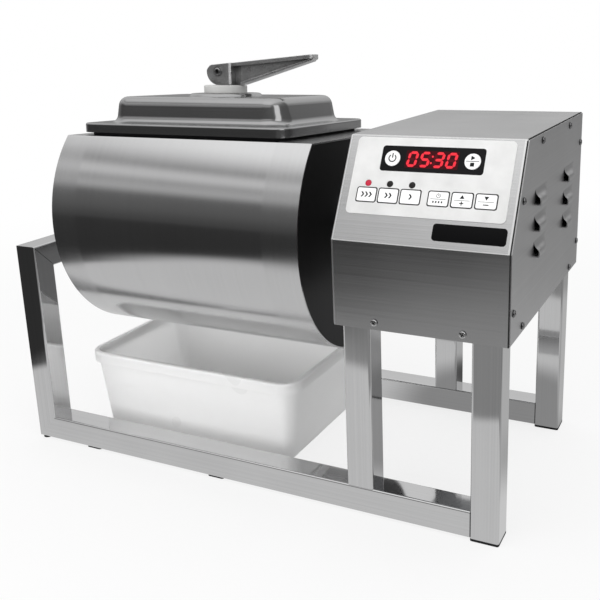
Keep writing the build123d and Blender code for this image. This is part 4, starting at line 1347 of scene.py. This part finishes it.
@dataclass
class Studio:
    """A white studio: floor, surroundings, lamps and camera.

    Lengths are in metres. The floor's and the walls' tones are what polished steel shows. A wall's tone goes
    by height, from 0 straight down through 0.5 at eye level to 1 straight up.
    """

    floor_side: float = 14.0
    floor_colour: Colour = (0.86, 0.86, 0.86)
    floor_roughness: float = 0.9
    floor_gloss: float = 0.1
    white_share: float = 0.78
    white_reach: Point = (0.7, 2.2)
    floor_sides: Point = (0.04, 0.38)
    floor_turn: Point = (0.0, 0.5)
    # The pools are painted shadows and pools of light on the floor, seen only in reflections.
    pools: tuple[Pool, ...] = (
        Pool((2.20, 0.00), (1.00, 1.60), 0.40),
        Pool((-2.60, 0.20), (0.90, 1.40), 0.40),
        Pool((0.40, -0.75), (0.35, 0.95), 0.33),
        Pool((0.45, 0.25), (0.55, 0.72), 0.55),
        Pool((-0.15, -0.10), (0.55, 0.60), 0.76),
        Pool((0.35, -0.32), (0.21, 0.25), 0.76),
        Pool((0.26, 0.08), (0.12, 0.22), 0.38),
        Pool((-0.33, -0.52), (0.12, 0.38), 0.74),
        Pool((0.20, 0.33), (0.05, 0.13), 0.10),
    )
    day: Colour = (0.80, 0.80, 0.80)
    front_tones: tuple[Point, ...] = ((0.0, 0.06), (0.50, 0.08), (0.56, 0.13), (0.64, 0.16), (0.68, 0.60),
                                      (0.72, 0.42), (0.75, 0.80), (0.77, 0.80), (0.80, 0.34), (0.85, 0.88),
                                      (0.89, 1.2), (1.0, 1.25))
    back_tones: tuple[Point, ...] = ((0.0, 0.17), (0.50, 0.22), (0.56, 0.45), (0.628, 0.72),
                                     (0.75, 0.85), (1.0, 1.1))
    right_tones: tuple[Point, ...] = ((0.0, 0.15), (0.62, 0.17), (0.80, 0.30), (1.0, 1.1))
    front_to_back: Point = (-0.3, 0.3)
    middle_to_right: Point = (0.30, 0.50)
    lamps: tuple[Softbox, ...] = (
        Softbox("key_softbox", (-1.2, -1.7, 2.1), (0.0, 0.0, 0.35), (2.4, 1.6), 2.0),
        Softbox("fill_softbox", (2.2, -1.2, 1.5), (0.1, 0.0, 0.35), (1.4, 1.6), 9.0, True),
        Softbox("low_softbox", (-0.9, -1.9, 0.55), (-0.10, 0.0, 0.12), (2.4, 0.8), 22.0),
        Softbox("side_softbox", (1.7, -1.3, 0.35), (0.0, 0.0, 0.12), (1.2, 0.6), 7.0),
        Softbox("top_softbox", (0.2, 0.5, 2.4), (0.0, 0.0, 0.4), (2.0, 1.4), 7.0),
    )
    focal: float = 839.48
    centre: Point = (344.81, 251.59)
    azimuth: float = 26.22
    elevation: float = 14.82
    roll: float = -1.67
    eye: Place = (0.6231, -1.1030, 0.6366)
    clip: Point = (0.01, 100.0)

    @staticmethod
    def distance(shader: Shader, where: Socket, middle: Point) -> Socket:
        """Gives how far a floor point is from another one.

        Args:
            shader: the floor's material.
            where: the floor point.
            middle: the other point.

        Returns:
            The distance.
        """
        node = shader.add("ShaderNodeVectorMath", Vector=where)
        node.operation = "DISTANCE"
        node.inputs[1].default_value = (*middle, 0.0)
        return node.outputs["Value"]

    @staticmethod
    def mix(shader: Shader, share: Socket, one: Socket, two: Socket) -> Socket:
        """Mixes two shaders.

        Args:
            shader: the material.
            share: how much of the second one shows.
            one: the first shader.
            two: the second shader.

        Returns:
            The mixed shader.
        """
        node = shader.add("ShaderNodeMixShader", Fac=share)
        shader.feed(node.inputs[1], one)
        shader.feed(node.inputs[2], two)
        return node.outputs[0]

    def paper(self) -> bpy.types.Material:
        """Builds the floor's paper: pale, with its shadow, and a studio's tones in polished steel.

        Returns:
            The material.
        """
        shader = Shader("pale_paper")
        shader.set(shader.surface, Base_Color=(*self.floor_colour, 1.0), Roughness=self.floor_roughness,
                   Specular_IOR_Level=self.floor_gloss)
        light = shader.add("ShaderNodeLightPath")
        where = shader.add("ShaderNodeTexCoord").outputs["Object"]
        white = shader.add("ShaderNodeEmission", Strength=1.0)
        away = self.distance(shader, where, (0.0, 0.0))
        share = shader.span(away, self.white_reach, (self.white_share, 1.0), True)
        seen = shader.math("MULTIPLY", light.outputs["Is Camera Ray"], share)
        pale = self.mix(shader, seen, shader.surface.outputs["BSDF"], white.outputs[0])
        split = shader.add("ShaderNodeSeparateXYZ", Vector=where)
        tone = shader.span(split.outputs["Y"], self.floor_turn, self.floor_sides, True)
        for pool in self.pools:
            inside = shader.span(self.distance(shader, where, pool.middle), pool.edge, (1.0, 0.0), True)
            tone = shader.add("ShaderNodeMix", Factor=inside, A=tone, B=pool.tone).outputs[0]
        room = shader.add("ShaderNodeEmission", Color=tone, Strength=1.0)
        whole = self.mix(shader, light.outputs["Is Glossy Ray"], pale, room.outputs[0])
        shader.set(shader.tree.nodes["Material Output"], Surface=whole)
        return shader.material

    def floor(self) -> None:
        """Lays a pale floor that looks white and keeps a soft shadow."""
        mesh = bmesh.new()
        bmesh.ops.create_grid(mesh, x_segments=1, y_segments=1, size=self.floor_side / 2)
        floor = Workshop.blank(mesh, "floor")
        floor.data.materials.append(self.paper())

    def surroundings(self) -> None:
        """Makes the world: white behind the machine, and a studio's light and dark sides in its gloss."""
        world = bpy.data.worlds.new("studio")
        bpy.context.scene.world = world
        world.use_nodes = True
        sky = NodeTree(world.node_tree)
        where = sky.add("ShaderNodeTexCoord").outputs["Generated"]
        split = sky.add("ShaderNodeSeparateXYZ", Vector=where).outputs
        height = sky.span(split["Z"], (-1.0, 1.0))
        front, back, right = (sky.ramp(height, [(at, (tone,) * 3) for at, tone in tones])
                              for tones in (self.front_tones, self.back_tones, self.right_tones))
        room = sky.blend(sky.span(split["Y"], self.front_to_back), front, back)
        room = sky.blend(sky.span(split["X"], self.middle_to_right), room, right)
        light = sky.add("ShaderNodeLightPath").outputs
        lit = sky.blend(light["Is Glossy Ray"], (*self.day, 1.0), room)
        through = sky.blend(light["Is Transmission Ray"], lit, WHITE)
        seen = sky.blend(light["Is Camera Ray"], through, WHITE)
        sky.set(world.node_tree.nodes["Background"], Color=seen)

    def camera(self) -> None:
        """Stands the camera where the photograph was taken from."""
        lens = bpy.data.cameras.new("camera")
        lens.sensor_width = SENSOR
        lens.lens = self.focal / IMAGE_SIDE * SENSOR
        lens.shift_x = (IMAGE_SIDE / 2 - self.centre[0]) / IMAGE_SIDE
        lens.shift_y = (self.centre[1] - IMAGE_SIDE / 2) / IMAGE_SIDE
        lens.clip_start, lens.clip_end = self.clip
        turn, tilt, roll = (math.radians(a) for a in (self.azimuth, self.elevation, self.roll))
        back = Vector((math.sin(turn) * math.cos(tilt), -math.cos(turn) * math.cos(tilt), math.sin(tilt)))
        level = Vector((math.cos(turn), math.sin(turn), 0.0))
        plumb = back.cross(level)
        right = level * math.cos(roll) + plumb * math.sin(roll)
        up = plumb * math.cos(roll) - level * math.sin(roll)
        camera = bpy.data.objects.new("camera", lens)
        camera.matrix_world = Matrix.Translation(self.eye) @ Matrix((right, up, back)).transposed().to_4x4()
        bpy.context.scene.collection.objects.link(camera)
        bpy.context.scene.camera = camera

    def build(self) -> None:
        """Builds the whole studio."""
        bpy.context.scene.view_settings.view_transform = "Standard"
        self.floor()
        self.surroundings()
        for lamp in self.lamps:
            lamp.build()
        self.camera()


def clear_scene() -> None:
    """Removes what a new file starts with."""
    for thing in list(bpy.data.objects):
        bpy.data.objects.remove(thing)


def main() -> None:
    """Builds the sub-assemblies in order."""
    logging.basicConfig(level=logging.INFO, format="%(message)s")
    clear_scene()
    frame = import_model()
    nodes = frame["nodes"]
    shop = Workshop(Wardrobe())
    Studio().build()
    for assembly in (Stand, Housing, ControlPanel, Screws, Drum, Drive, CatchTub):
        assembly(nodes, shop).build()


if __name__ == "__main__":
    main()
